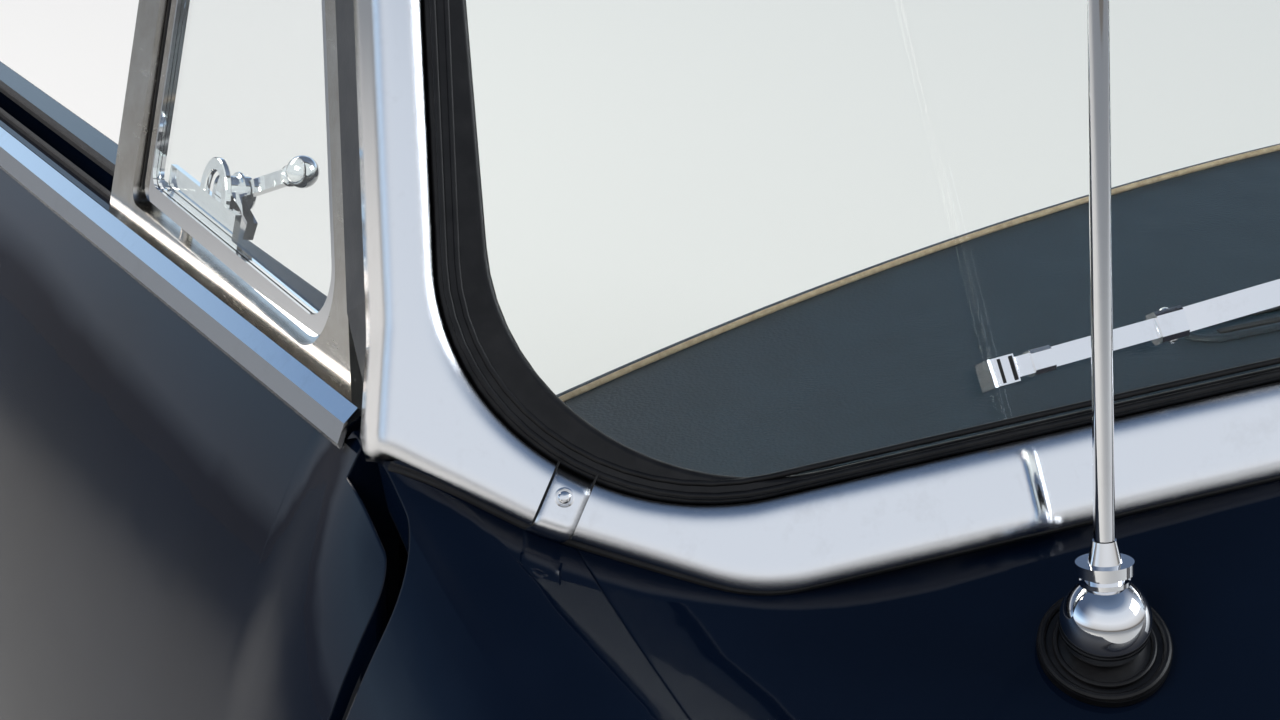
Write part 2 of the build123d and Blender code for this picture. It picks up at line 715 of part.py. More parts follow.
def vent_latch():
    """Latch on the sash's inner face: boss, lever with its ball and a short cam tail."""
    back = -SASH_BAR / 2 - LATCH_TAB_T - SEAT_GAP
    pivot_y, pivot_w = LATCH_PIVOT
    run = Vector(LATCH_BALL[0] - pivot_y, LATCH_BALL[1] - pivot_w)
    turn = degrees(atan2(run.Y, run.X))
    tail_l, _, tail_t = LATCH_TAIL
    boss = Pos(0, 0, back - LATCH_BOSS_T / 2) * Cylinder(LATCH_BOSS_R, LATCH_BOSS_T)
    lever = Pos(run.length / 2, 0, back - 9) * Box(run.length, *LATCH_BAR)
    ball = Pos(run.length, 0, back - 9) * Cylinder(LATCH_BALL_R, 8)
    ball = fillet(ball.edges(), 3)
    tail = Rot(0, 0, LATCH_TAIL_ANGLE) * (Pos(tail_l / 2, 0, back - tail_t) * Box(*LATCH_TAIL))
    latch = Pos(pivot_y, pivot_w, 0) * Rot(0, 0, turn) * (boss + lever + ball + tail)
    return side_plane().location * latch


def belt_moulding():
    """Bright two-faced moulding along the top of the door."""
    section = Polyline(*[(MOULDING_X + out, up) for out, up in MOULDING_SECTION], close=True)
    start = Pos(0, MOULDING_FRONT_Y, BELT_Z - BELT_FALL * MOULDING_FRONT_Y) * Plane.XZ.location
    face = make_face([start * edge for edge in section.edges()])
    length = DOOR_REAR_Y - MOULDING_FRONT_Y - 2
    return extrude(face, length, dir=(0, 1, -BELT_FALL)) - vent_blank(SEAT_GAP)


def door_handle():
    """Bright pull handle on two feet."""
    grip = Pos(HANDLE_X, HANDLE_Y, HANDLE_Z) * Rot(90, 0, 0) * Cylinder(*HANDLE_GRIP)
    grip = fillet(grip.edges(), 6)
    root_x = HANDLE_X - HANDLE_REACH
    feet = block(root_x, HANDLE_X, HANDLE_Y - 60, HANDLE_Y - 44, HANDLE_Z - 7, HANDLE_Z + 7)
    feet += block(root_x, HANDLE_X, HANDLE_Y + 40, HANDLE_Y + 60, HANDLE_Z - 9, HANDLE_Z + 9)
    return (grip + feet) - seat_body


def door_trim():
    """Inner trim panel with an armrest."""
    x = DOOR_INNER_X - SEAT_GAP
    reach, front, rear, low, high = ARMREST
    panel = block(x - TRIM_T, x, DOOR_STEP_Y + 12, DOOR_REAR_Y - 14, DOOR_BOTTOM_Z + 22, BELT_Z - 62)
    rest = block(x - reach, x, front, rear, low, high)
    rest = fillet(rest.edges().filter_by(Axis.Y), 14)
    return panel + rest


def dash_edge(y_shift):
    """Bowed rear edge of the dashboard in plan, for the left half and the right."""
    end = POST_INNER_X - SEAT_GAP
    side_y = DASH_EDGE_Y + y_shift
    return ThreePointArc((-end, side_y), (0, side_y + DASH_EDGE_BOW), (end, side_y))


def dash_band(y0, y1):
    """Plan band between the rear edge moved by y0 and by y1, standing the full height."""
    first, second = dash_edge(y0), dash_edge(y1)
    ends = [Line(first @ 0, second @ 0), Line(first @ 1, second @ 1)]
    return extrude(make_face([first, second] + ends), 900)


def crown_solid(z):
    """Solid below the dashboard's crowned top, raised or lowered to z on the centre line."""
    return Pos(0, 0, z - DASH_CROWN_R) * Rot(90, 0, 0) * Cylinder(DASH_CROWN_R, BIG)


def dash_top():
    """Padded top that runs from under the glass to a rolled rear edge."""
    slab = dash_band(-400, 0) & (crown_solid(DASH_CROWN_Z) - crown_solid(DASH_CROWN_Z - DASH_T))
    slab &= screen_cylinder(SURROUND_BACK - SEAT_GAP)
    slab -= block(-BIG, -HEADER_END_X, -BIG, BIG, 0, BIG) - screen_cylinder(PILLAR_BACK - SEAT_GAP)
    slab -= block(HEADER_END_X, BIG, -BIG, BIG, 0, BIG) - screen_cylinder(PILLAR_BACK - SEAT_GAP)
    return slab - whole(door_footprint(DOOR_CLEAR))


def dash_panel():
    """Painted dashboard face below the padded top."""
    face = dash_band(-DASH_PANEL_T - 12, -12) & crown_solid(DASH_CROWN_Z - DASH_T - SEAT_GAP)
    face &= block(-BIG, BIG, -BIG, BIG, DASH_BOTTOM_Z, BIG)
    return face - whole(door_footprint(DOOR_CLEAR))


def on_glass(turn, rise, height):
    """Frame square to the glass: turned round its cylinder, rise up it and height out from it."""
    centre = SCREEN.location * Pos(0, 0, -GLASS_R) * Rot(0, turn, 0)
    return centre * Pos(0, rise, GLASS_R + height)


def arm_frame(turn):
    """Wiper's frame at its spindle, x along the arm and z up the spindle."""
    return on_glass(turn, WIPER_S, 0) * Rot(0, 0, ARM_ANGLE)


def blade_frame(turn):
    """Frame of the parked blade, at its middle, x along it."""
    return on_glass(turn + BLADE_TURN, WIPER_S + BLADE_RISE, BLADE_GAP) * Rot(0, 0, BLADE_ANGLE)


def side_bar(points, half_width):
    """Bar across the wiper's width from a side outline given as (x, z)."""
    outline = Polyline(*[(x, 0, z) for x, z in points], close=True)
    return extrude(make_face(outline), half_width, both=True)


def wiper_boss(turn):
    """Fixed boss on the scuttle, bored for the spindle."""
    boss = Pos(0, 0, BOSS_TOP - 20) * Cylinder(BOSS_R, 40)
    boss = fillet(boss.edges().sort_by(Axis.Z)[-1], 3)
    boss -= Cylinder(SPINDLE_R + PIN_CLEARANCE, 2 * BOSS_TOP + 2)
    return arm_frame(turn) * boss - seat_body


def wiper_head(turn):
    """Hub on the spindle, with the tongue and pin that the arm folds on."""
    low = BOSS_TOP + RUN_GAP
    hub = Pos(0, 0, (low + HUB_TOP) / 2) * Cylinder(HUB_R, HUB_TOP - low)
    hub = fillet(hub.edges().sort_by(Axis.Z)[-1], 5)
    spindle = Pos(0, 0, (SPINDLE_FOOT + low + 1) / 2) * Cylinder(SPINDLE_R, low + 1 - SPINDLE_FOOT)
    tongue = block(0, KNUCKLE_X, -TONGUE_W / 2, TONGUE_W / 2, KNUCKLE_Z - 4.5, KNUCKLE_Z + 4.5)
    tongue += Pos(KNUCKLE_X, 0, KNUCKLE_Z) * Rot(90, 0, 0) * Cylinder(4.5, TONGUE_W)
    width = TONGUE_W + 2 * (CHEEK_GAP + CHEEK_T)
    pin = Pos(KNUCKLE_X, 0, KNUCKLE_Z) * Rot(90, 0, 0) * Cylinder(KNUCKLE_PIN_R, width)
    return arm_frame(turn) * (hub + spindle + tongue + pin)


def wiper_arm(turn):
    """Arm: two cheeks round the head's tongue, then a bar that thins towards the blade."""
    half = TONGUE_W / 2 + CHEEK_GAP + CHEEK_T
    end = arm_end_height()
    low, high = KNUCKLE_Z - 3, KNUCKLE_Z - 3 + ARM_T
    channel = side_bar([
        (KNUCKLE_X - 6, KNUCKLE_Z - 6),
        (CHANNEL_END_X, KNUCKLE_Z - 5),
        (CHANNEL_END_X, KNUCKLE_Z + 4),
        (KNUCKLE_X - 6, KNUCKLE_Z + 7),
    ], half)
    channel -= block(0, CHEEK_END_X, -half + CHEEK_T, half - CHEEK_T, 0, 80)
    channel -= Pos(KNUCKLE_X, 0, KNUCKLE_Z) * Rot(90, 0, 0) * Cylinder(KNUCKLE_PIN_R + PIN_CLEARANCE, 40)
    bar = side_bar([
        (CHANNEL_END_X - 2, low),
        (ARM_END_X - 16, end),
        (ARM_END_X + 6, end),
        (ARM_END_X + 6, end + ARM_T),
        (ARM_END_X - 14, end + ARM_T),
        (CHANNEL_END_X - 2, high),
    ], ARM_T)
    return arm_frame(turn) * (channel + bar) - wiper_holder_blank(turn)


def arm_end_height():
    """Height of the arm's flat end over the blade's middle, in the arm's frame."""
    middle = arm_frame(0).inverse() * blade_frame(0) * Pos(0, 0, BRIDGE_TOP + 1.0)
    return middle.position.Z


def bowed(low, high, half_length, half_width):
    """Bar bowed like the blade, between two heights from the rubber's edge."""
    fall = half_length**2 / (2 * BLADE_BOW_R)
    lower = ThreePointArc((-half_length, 0, low - fall), (0, 0, low), (half_length, 0, low - fall))
    upper = ThreePointArc((-half_length, 0, high - fall), (0, 0, high), (half_length, 0, high - fall))
    ends = [Line(lower @ 0, upper @ 0), Line(lower @ 1, upper @ 1)]
    return extrude(make_face([lower, upper] + ends), half_width, both=True)


def wiper_holder_blank(turn):
    """Bright holder along the blade, its end caps and the bridge over its middle."""
    holder = bowed(RUBBER_H + SEAT_GAP, RUBBER_H + HOLDER_H, BLADE_L / 2, HOLDER_W / 2)
    fall = BRIDGE_HALF**2 / (2 * BLADE_BOW_R)
    foot = RUBBER_H + HOLDER_H - fall
    low, wide, narrow = foot - 2, BRIDGE_HALF + 4, BRIDGE_HALF - 18
    outer = ThreePointArc((-wide, 0, low), (0, 0, BRIDGE_TOP), (wide, 0, low))
    inner = ThreePointArc((-narrow, 0, low), (0, 0, BRIDGE_TOP - BRIDGE_T), (narrow, 0, low))
    ends = [Line(outer @ 0, inner @ 0), Line(outer @ 1, inner @ 1)]
    bridge = extrude(make_face([outer, inner] + ends), BRIDGE_W / 2, both=True)
    for side in (-1, 1):
        x = side * (BLADE_L / 2 - END_CAP_L / 2 + 1)
        low = RUBBER_H - 4 - x**2 / (2 * BLADE_BOW_R)
        holder += Pos(x, 0, low + 7) * Box(END_CAP_L, HOLDER_W + 3, 14)
    return blade_frame(turn) * (holder + bridge)


def wiper_rubber(turn):
    """Rubber of the blade, between the holder's end caps."""
    rubber = bowed(0, RUBBER_H, BLADE_L / 2 - END_CAP_L, RUBBER_W / 2)
    return blade_frame(turn) * rubber


def aerial_frame(height):
    """Frame on the aerial's axis, z up the mast, at a height from the ball's centre."""
    foot = Location((AERIAL_X, AERIAL_Y, AERIAL_Z), (-AERIAL_LEAN, 0, 0))
    return foot * Pos(0, 0, BALL_Z + height)


def aerial_pad():
    """Round rubber pad that follows the wing."""
    disc = Plane(origin=(AERIAL_X, AERIAL_Y, AERIAL_Z), z_dir=WING_NORMAL).location * Cylinder(PAD_R, 40)
    return (disc & body_half(-PAD_T)) - seat_body


def aerial_base():
    """Bright ball with two collars and a tapered ferrule."""
    base = Sphere(BALL_R)
    for z, height, radius in COLLARS:
        base += Pos(0, 0, z + height / 2) * Cylinder(radius, height)
    cone_foot = COLLARS[-1][0] + COLLARS[-1][1]
    cone_height = FERRULE_TOP - cone_foot
    base += Pos(0, 0, cone_foot + cone_height / 2) * Cone(TUBE_R + 2.5, TUBE_R + 0.5, cone_height)
    return aerial_frame(0) * base - body_half(-PAD_T - SEAT_GAP)


def mast_tube(foot, length, radius, bore):
    """One length of the telescopic mast, hollow if it has a bore."""
    tube = Pos(0, 0, length / 2) * Cylinder(radius, length)
    if bore:
        tube -= Pos(0, 0, length / 2) * Cylinder(bore, length + 2)
    return aerial_frame(foot) * tube


def aerial_masts():
    """Fixed tube, sliding middle and sliding tip with its ball, drawn out."""
    tube_foot = FERRULE_TOP + SEAT_GAP
    middle_foot = tube_foot + TUBE_L - MAST_LAP
    tip_foot = middle_foot + MIDDLE_L - MAST_LAP
    tube = mast_tube(tube_foot, TUBE_L, TUBE_R, TUBE_BORE_R)
    middle = mast_tube(middle_foot, MIDDLE_L, TUBE_BORE_R - MAST_GAP, MIDDLE_BORE_R)
    tip = mast_tube(tip_foot, TIP_L, MIDDLE_BORE_R - MAST_GAP, 0)
    tip += aerial_frame(tip_foot + TIP_L) * Sphere(TIP_BALL_R)
    return tube, middle, tip


def save_surround():
    """Write the four pieces of the surround, named by where they lie."""
    for piece in surround():
        centre = piece.center()
        if abs(centre.X) > CLIP_X / 2:
            save("surround_left" if centre.X > 0 else "surround_right", piece)
        else:
            save("surround_top" if centre.Z > SCREEN_Z else "surround_bottom", piece)


def save_all():
    """Write every sub-part."""
    cowl, wing = cowl_and_wings()
    save("cowl", cowl)
    save("bulkhead", bulkhead())
    save("header_rail", header_rail())
    save("windscreen_glass", windscreen_glass())
    save("windscreen_seal", windscreen_seal())
    save("dash_top", dash_top())
    save("dash_panel", dash_panel())
    save_surround()
    pairs = {
        "wing": wing,
        "front_post": front_post(),
        "hinge_arms": hinge_arms(),
        "pillar": pillar(),
        "joint_clip": joint_clip(),
        "door_shell": door_shell(),
        "door_trim": door_trim(),
        "door_handle": door_handle(),
        "belt_moulding": belt_moulding(),
        "vent_frame": vent_frame(),
        "vent_sash": vent_sash(),
        "vent_glass": vent_glass(),
        "vent_latch": vent_latch(),
    }
    for stem, left in pairs.items():
        save_pair(stem, left)
    for side, turn in WIPER_TURNS.items():
        save("wiper_boss_" + side, wiper_boss(turn))
        save("wiper_head_" + side, wiper_head(turn))
        save("wiper_arm_" + side, wiper_arm(turn))
        save("wiper_holder_" + side, wiper_holder_blank(turn))
        save("wiper_rubber_" + side, wiper_rubber(turn))
    tube, middle, tip = aerial_masts()
    aerial = {
        "aerial_pad": aerial_pad(),
        "aerial_base": aerial_base(),
        "aerial_tube": tube,
        "aerial_middle": middle,
        "aerial_tip": tip,
    }
    for name, left in aerial.items():
        save(name, mirror(left, about=Plane.YZ))


save_all()
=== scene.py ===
import json
from math import cos, pi, radians, sin, sqrt, tan

import bmesh
import bpy
from mathutils import Matrix, Vector
from mathutils.bvhtree import BVHTree


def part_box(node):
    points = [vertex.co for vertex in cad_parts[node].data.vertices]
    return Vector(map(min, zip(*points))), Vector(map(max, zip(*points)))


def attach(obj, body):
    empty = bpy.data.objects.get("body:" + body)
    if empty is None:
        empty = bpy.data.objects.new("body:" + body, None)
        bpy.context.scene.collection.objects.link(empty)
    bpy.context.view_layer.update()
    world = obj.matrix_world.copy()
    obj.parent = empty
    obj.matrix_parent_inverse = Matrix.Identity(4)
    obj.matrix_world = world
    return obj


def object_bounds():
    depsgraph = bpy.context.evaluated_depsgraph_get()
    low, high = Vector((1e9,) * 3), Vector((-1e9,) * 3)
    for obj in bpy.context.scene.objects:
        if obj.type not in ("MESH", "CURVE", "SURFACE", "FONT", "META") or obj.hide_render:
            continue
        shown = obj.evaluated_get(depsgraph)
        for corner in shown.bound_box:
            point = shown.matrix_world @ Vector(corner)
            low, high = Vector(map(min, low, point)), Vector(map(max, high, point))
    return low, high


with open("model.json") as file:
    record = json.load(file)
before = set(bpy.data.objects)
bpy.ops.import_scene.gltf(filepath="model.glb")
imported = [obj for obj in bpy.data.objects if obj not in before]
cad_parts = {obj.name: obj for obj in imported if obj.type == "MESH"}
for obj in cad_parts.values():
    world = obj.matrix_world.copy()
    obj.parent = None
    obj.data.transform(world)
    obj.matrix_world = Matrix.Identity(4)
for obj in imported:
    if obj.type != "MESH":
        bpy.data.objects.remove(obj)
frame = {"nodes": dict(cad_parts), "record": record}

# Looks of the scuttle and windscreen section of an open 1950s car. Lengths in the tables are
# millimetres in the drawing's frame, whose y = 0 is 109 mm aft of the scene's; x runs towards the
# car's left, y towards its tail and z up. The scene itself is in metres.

cad_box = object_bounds()
scene = bpy.context.scene
nodes = frame["nodes"]

# Directions and sides
UP, DOWN = Vector((0, 0, 1)), Vector((0, 0, -1))
AFT, AHEAD = Vector((0, 1, 0)), Vector((0, -1, 0))
ACROSS = Vector((1, 0, 0))
SIDES = {-1: "right", 1: "left"}

# Photograph's camera
CAMERA_AT = Vector((-1.0505, -0.882, 1.048))
CAMERA_LOOK = Vector((0.431, 0.828, -0.358))
CAMERA_LENS = 84.375
SENSOR_WIDTH = 36.0

# Studio; the floor's glow has its distances from the middle, its strengths there and its colour
FLOOR_SIZE = 30.0
FLOOR_DROP = 0.001
FLOOR_COLOUR = (0.54, 0.54, 0.53, 1.0)
GLOW_REACH = (0.5, 9.0)
GLOW_STRENGTH = (0.16, 0.62)
GLOW_COLOUR = (0.97, 0.98, 1.0, 1.0)
WORLD_COLOUR = (0.80, 0.85, 0.94, 1.0)
WORLD_STRENGTH = 0.5
SEEN_COLOUR = (0.90, 0.92, 0.94, 1.0)
SKY_TURN = (-0.45, 0.35)
SKY_FRONT = [
    # sine of the elevation, colour that gloss shows ahead of the piece
    (0.000, (0.16, 0.15, 0.14, 1)),
    (0.060, (0.55, 0.55, 0.55, 1)),
    (0.300, (0.78, 0.81, 0.86, 1)),
    (0.620, (0.64, 0.70, 0.79, 1)),
    (0.820, (0.16, 0.22, 0.33, 1)),
    (1.000, (0.08, 0.12, 0.20, 1)),
]
SKY_REAR = [
    # the same, behind the piece
    (0.000, (0.26, 0.25, 0.25, 1)),
    (0.040, (0.72, 0.80, 0.92, 1)),
    (0.170, (0.72, 0.98, 1.26, 1)),
    (0.330, (0.20, 0.32, 0.52, 1)),
    (0.480, (0.07, 0.10, 0.17, 1)),
    (1.000, (0.08, 0.12, 0.20, 1)),
]
LAMPS = [
    # name, place, aimed at, width, height, watts, colour
    ("key_softbox", (-3.4, -0.7, 2.9), (0.0, 0.0, 0.6), 2.0, 1.4, 105, (1.0, 0.95, 0.88)),
    ("fill_softbox", (2.8, -1.6, 2.4), (0.0, 0.0, 0.6), 2.0, 1.4, 60, (0.90, 0.95, 1.0)),
    ("rear_softbox", (-1.4, 3.2, 2.6), (0.0, 0.3, 0.5), 2.6, 1.2, 80, (1.0, 0.93, 0.86)),
]

# Drawing's frame and the windscreen, repeated from the part
MM = 0.001
FOOT_SHIFT = 109.0
SCREEN_ORIGIN = (0.0, -138.4, 662.6)
RAKE = radians(30.0)
SCREEN_UP = Vector((0, sin(RAKE), cos(RAKE)))
SCREEN_OUT = Vector((0, -cos(RAKE), sin(RAKE)))
GLASS_R = 1500.0
SIGHT = (613.2, -30.0, 100.0, 560.0, 366.0, 65.0)
REBATE = (636.7, -36.0, 100.0, 569.0, 374.0, 72.0)
SURROUND = [(533, -72, 60), (603, -27.5, 80), (652, 17, 4), (640, 62, 60), (584, 392, 68)]

# Windscreen seal, gasket and clips
SEAL_FRONT = 8.0
SEAL_LIPS = [
    # name, outline, growth, height over the glass, radius
    ("seal_inner_lip", SIGHT, 1.6, SEAL_FRONT - 2.6, 1.5),
    ("seal_middle_lip", REBATE, -8.0, SEAL_FRONT - 0.5, 1.3),
    ("seal_outer_lip", REBATE, -3.0, SEAL_FRONT - 0.3, 1.5),
]
SEAL_JOINT = [(574, -22.5), (575.5, -27), (577, -33)]
GASKET_TOP = 25
GASKET_REACH = 0.075
CLIP_TURN = radians(34.0)
CLIP_MIDDLE = (594.0, -19.0)
CLIP_EDGES = [("inner", -7.25), ("outer", 7.25)]
CLIP_TOP = 11.1

# Dashboard
DASH_CROWN = (628.0, 3200.0)
DASH_EDGE = (105.0, 7364.0)
DASH_FACE_BACK = 12.0
DASH_ROLLS = [
    # name, ahead of the rear edge, above the top, radius, finish
    ("dash_piping", 6.0, 0.6, 1.5, "piping"),
    ("dash_rear_roll", 1.6, -5.0, 5.4, "dash_cover"),
    ("dash_lower_roll", 1.4, -13.0, 3.0, "dash_cover"),
]
DEMISTER_X = 246.0
DEMISTER_SLANT = 0.19
DIALS = [(250, 536, 47), (365, 536, 47), (452, 540, 27), (166, 548, 25)]
FIRST_MARK, MARK_STEP, MARKS = -125, 25, 11
NEEDLE = -60
SWITCHES = [-60, -20, 20, 60, 100]

# Wiper blades: their places round the glass, the rise and gap of their middles, slant and bow
BLADE_TURN = {-1: radians(-10.53), 1: radians(4.90)}
BLADE_ANGLE = radians(182.9)
BLADE_RISE = -1.0
BLADE_GAP = 1.5
BLADE_BOW = 3600.0
CLAW_X = 88.0

# Vent windows and their latches
BELT_Z = 600.0
BELT_FALL = 0.032
VENT_X = 632.0
VENT_LEAN = radians(12.0)
LATCH_PIVOT = (250, 33)
LATCH_BALL = (182, 62)
LATCH_DEEP = -16.3
BALL_R = 7.2
BALL_STEPS = 14

# Doors' inner sides
CARD_FACE = 581.7
CARD_PIPING = [470, 440, 300, 270]
FLUTE = [278, 296, 360, 420, 434]
FLUTE_OVER_POCKET = [376, 396, 420, 434]
FELTS = [("inner", 609.5, 5.0), ("outer", 626.6, 3.2)]
DOOR_REAR = 880.0
LOCK = (650, 440)
REAR_SEAL = [(604, 540), (604, 420), (603, 260), (603, 100)]
CHANNEL_Y = 352.0

# Plugged holes of the bulkhead: x, z, radius
GROMMETS = [(-420, 260, 16), (-300, 270, 11), (380, 250, 19), (455, 262, 12)]

# Door's section line, in metres, and how far the paint's normal is eased on each side of it
SECTION_LINE = 0.164
EASE_FRONT = 0.10
EASE_REAR = 0.34
EASE_LOW = 0.40
EASE_HIGH = 0.58
EASE_POWER = 1.6
EASE_TILT = 0.10


# Places and outlines


def at(x, y, z):
    """Point of the scene from millimetres in the drawing's frame."""
    return Vector((x, y + FOOT_SHIFT, z)) * MM


def on_screen(x, s, height):
    """Point and outward normal at a height from the glass's outer face."""
    reach = sqrt((GLASS_R + height) ** 2 - x**2)
    place = Vector(SCREEN_ORIGIN) + SCREEN_UP * s + SCREEN_OUT * (reach - GLASS_R) + ACROSS * x
    return at(*place), (ACROSS * x + SCREEN_OUT * reach).normalized()


def vent_axes(side):
    """Way up along a vent window's lean, and way out of its pane."""
    up = Vector((-side * sin(VENT_LEAN), 0, cos(VENT_LEAN)))
    return up, Vector((side * cos(VENT_LEAN), 0, sin(VENT_LEAN)))


def vent_point(side, y, w, height=0.0):
    """Point of a vent window, from its distances aft, up along its lean and out of its pane."""
    up, out = vent_axes(side)
    return at(side * VENT_X, 0, BELT_Z) + (AFT * y + up * w + out * height) * MM


def rounded_path(corners, step=12.0):
    """Closed path from (x, y, radius) corners: arcs at the corners and points along the sides."""
    path = []
    count = len(corners)
    for number, (x, y, radius) in enumerate(corners):
        here = Vector((x, y))
        to_last = (Vector(corners[number - 1][:2]) - here).normalized()
        to_next = (Vector(corners[(number + 1) % count][:2]) - here).normalized()
        half = to_last.angle(to_next) / 2
        middle = here + (to_last + to_next).normalized() * (radius / sin(half))
        start = here + to_last * (radius / tan(half)) - middle
        end = here + to_next * (radius / tan(half)) - middle
        arc = start.angle_signed(end)
        pieces = max(3, int(abs(arc) * radius / step) + 2)
        for piece in range(pieces + 1):
            path.append(middle + Matrix.Rotation(-arc * piece / pieces, 2) @ start)
    full = []
    for number, here in enumerate(path):
        ahead = path[(number + 1) % len(path)]
        parts = max(1, int((ahead - here).length / step))
        full += [here.lerp(ahead, part / parts) for part in range(parts)]
    return full


def rounded_box(left, low, right, high, radius, step=12.0):
    """Closed path round a rectangle with rounded corners."""
    corners = ((left, low), (right, low), (right, high), (left, high))
    return rounded_path([(x, y, radius) for x, y in corners], step)


def trapezium(edge, grow):
    """Rounded outline of the screen, grown."""
    bottom_x, bottom_s, bottom_r, top_x, top_s, top_r = edge
    bottom, top = (bottom_x + grow, bottom_s - grow), (top_x + grow, top_s + grow)
    return rounded_path([
        (*bottom, bottom_r + grow), (*top, top_r + grow),
        (-top[0], top[1], top_r + grow), (-bottom[0], bottom[1], bottom_r + grow),
    ])


def surround_path():
    """Outer edge of the bright surround, anticlockwise from the middle."""
    return rounded_path(SURROUND + [(-x, s, r) for x, s, r in reversed(SURROUND)], 8.0)


def circle(radius, count=10, flat=1.0):
    """Round profile."""
    turns = [2 * pi * number / count for number in range(count)]
    return [(radius * cos(turn), flat * radius * sin(turn)) for turn in turns]


def rectangle(width, height):
    """Rectangular profile with small chamfers."""
    cut = min(width, height) * 0.18
    w, h = width / 2, height / 2
    return [(w, h - cut), (w - cut, h), (cut - w, h), (-w, h - cut), (-w, cut - h), (cut - w, -h),
            (w - cut, -h), (w, cut - h)]


# Meshes


def mesh_object(name, rows, finish, body, closed=False, sharp=35.0):
    """Smooth mesh over rows of points, capped unless it closes on itself, riding on a body."""
    size, faces = len(rows[0]), []
    for number in range(len(rows) if closed else len(rows) - 1):
        first, second = number * size, ((number + 1) % len(rows)) * size
        for side in range(size):
            ahead = (side + 1) % size
            faces.append((first + side, first + ahead, second + ahead, second + side))
    if not closed:
        faces.append(tuple(range(size - 1, -1, -1)))
        faces.append(tuple((len(rows) - 1) * size + side for side in range(size)))
    mesh = bpy.data.meshes.new(name)
    mesh.from_pydata([tuple(point) for row in rows for point in row], [], faces)
    builder = bmesh.new()
    builder.from_mesh(mesh)
    bmesh.ops.remove_doubles(builder, verts=builder.verts, dist=1e-7)
    bmesh.ops.recalc_face_normals(builder, faces=builder.faces)
    builder.to_mesh(mesh)
    builder.free()
    for face in mesh.polygons:
        face.use_smooth = True
    mesh.set_sharp_from_angle(angle=radians(sharp))
    mesh.materials.append(finishes[finish])
    made = bpy.data.objects.new(name, mesh)
    scene.collection.objects.link(made)
    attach(made, body)
    return made


def sweep(name, path, profile, finish, body="frame", closed=False):
    """Profile carried along a path of (point, up direction); across is the profile's first axis."""
    rows, count = [], len(path)
    for number, (place, up) in enumerate(path):
        if closed:
            before, after = path[number - 1][0], path[(number + 1) % count][0]
        else:
            before, after = path[max(number - 1, 0)][0], path[min(number + 1, count - 1)][0]
        along = (after - before).normalized()
        across = along.cross(up).normalized()
        raised = across.cross(along)
        rows.append([place + across * a * MM + raised * b * MM for a, b in profile])
    return mesh_object(name, rows, finish, body, closed)


def turned(name, place, axis, outline, finish, body="frame", count=32, sharp=35.0):
    """Turned piece from (radius, height) in millimetres, its axis through place."""
    turn = axis.normalized().to_track_quat("Z", "Y")
    angles = [2 * pi * number / count for number in range(count)]
    rows = []
    for radius, height in outline:
        flat = [Vector((radius * cos(angle), radius * sin(angle), height)) for angle in angles]
        rows.append([place + turn @ (point * MM) for point in flat])
    mesh_object(name, rows, finish, body, sharp=sharp)


def ring(name, place, axis, radius, thick, finish, body="frame", count=40):
    """Round ring of round section."""
    axis = axis.normalized()
    turn = axis.to_track_quat("Z", "Y")
    angles = [2 * pi * number / count for number in range(count)]
    path = [(place + turn @ Vector((cos(angle), sin(angle), 0)) * radius * MM, axis)
            for angle in angles]
    sweep(name, path, circle(thick), finish, body, closed=True)


def slab(name, centre, along, up, size, finish, body="frame"):
    """Chamfered block: its length runs along, its height up."""
    length, width, height = size
    along = along.normalized()
    across = along.cross(up).normalized()
    raised = across.cross(along)
    full, small = rectangle(width, height), rectangle(width * 0.94, height * 0.9)
    rows = []
    for reach, section in ((-0.5, small), (-0.49, full), (0.49, full), (0.5, small)):
        place = centre + along * length * MM * reach
        rows.append([place + across * a * MM + raised * b * MM for a, b in section])
    mesh_object(name, rows, finish, body)


def skin_of(*names):
    """Search tree over the faces of some nodes."""
    points, faces = [], []
    for name in names:
        mesh = nodes[name].data
        base = len(points)
        points += [nodes[name].matrix_world @ vertex.co for vertex in mesh.vertices]
        faces += [[base + index for index in face.vertices] for face in mesh.polygons]
    return BVHTree.FromPolygons(points, faces)


# Node trees


def add(tree, kind, inputs=None, **settings):
    """New node of a tree, its inputs given as values or as the sockets that feed them."""
    node = tree.nodes.new(kind)
    for setting, value in settings.items():
        setattr(node, setting, value)
    for key, value in (inputs or {}).items():
        if isinstance(value, bpy.types.NodeSocket):
            tree.links.new(value, node.inputs[key])
        else:
            node.inputs[key].default_value = value
    return node


def worked(tree, operation, first, second):
    """Result of one step of arithmetic."""
    return add(tree, "ShaderNodeMath", {0: first, 1: second}, operation=operation).outputs[0]


def ranged(tree, value, low, high, to_low, to_high, **settings):
    """Value stretched from one range onto another."""
    ends = dict(enumerate((value, low, high, to_low, to_high)))
    return add(tree, "ShaderNodeMapRange", ends, **settings).outputs[0]


def ramp(tree, factor, stops):
    """Colour ramp of (place, colour) stops."""
    node = add(tree, "ShaderNodeValToRGB", {"Fac": factor})
    elements = node.color_ramp.elements
    for number, (place, colour) in enumerate(stops):
        element = elements[number] if number < 2 else elements.new(place)
        element.position = place
        element.color = colour
    return node.outputs["Color"]


def looked_at(tree):
    """Outputs that tell the rays apart, and 1 where the camera looks, also through glass."""
    rays = add(tree, "ShaderNodeLightPath").outputs
    return rays, worked(tree, "MAXIMUM", rays["Is Camera Ray"], rays["Is Transmission Ray"])


# Fixings set on points, each turned to its point's own direction


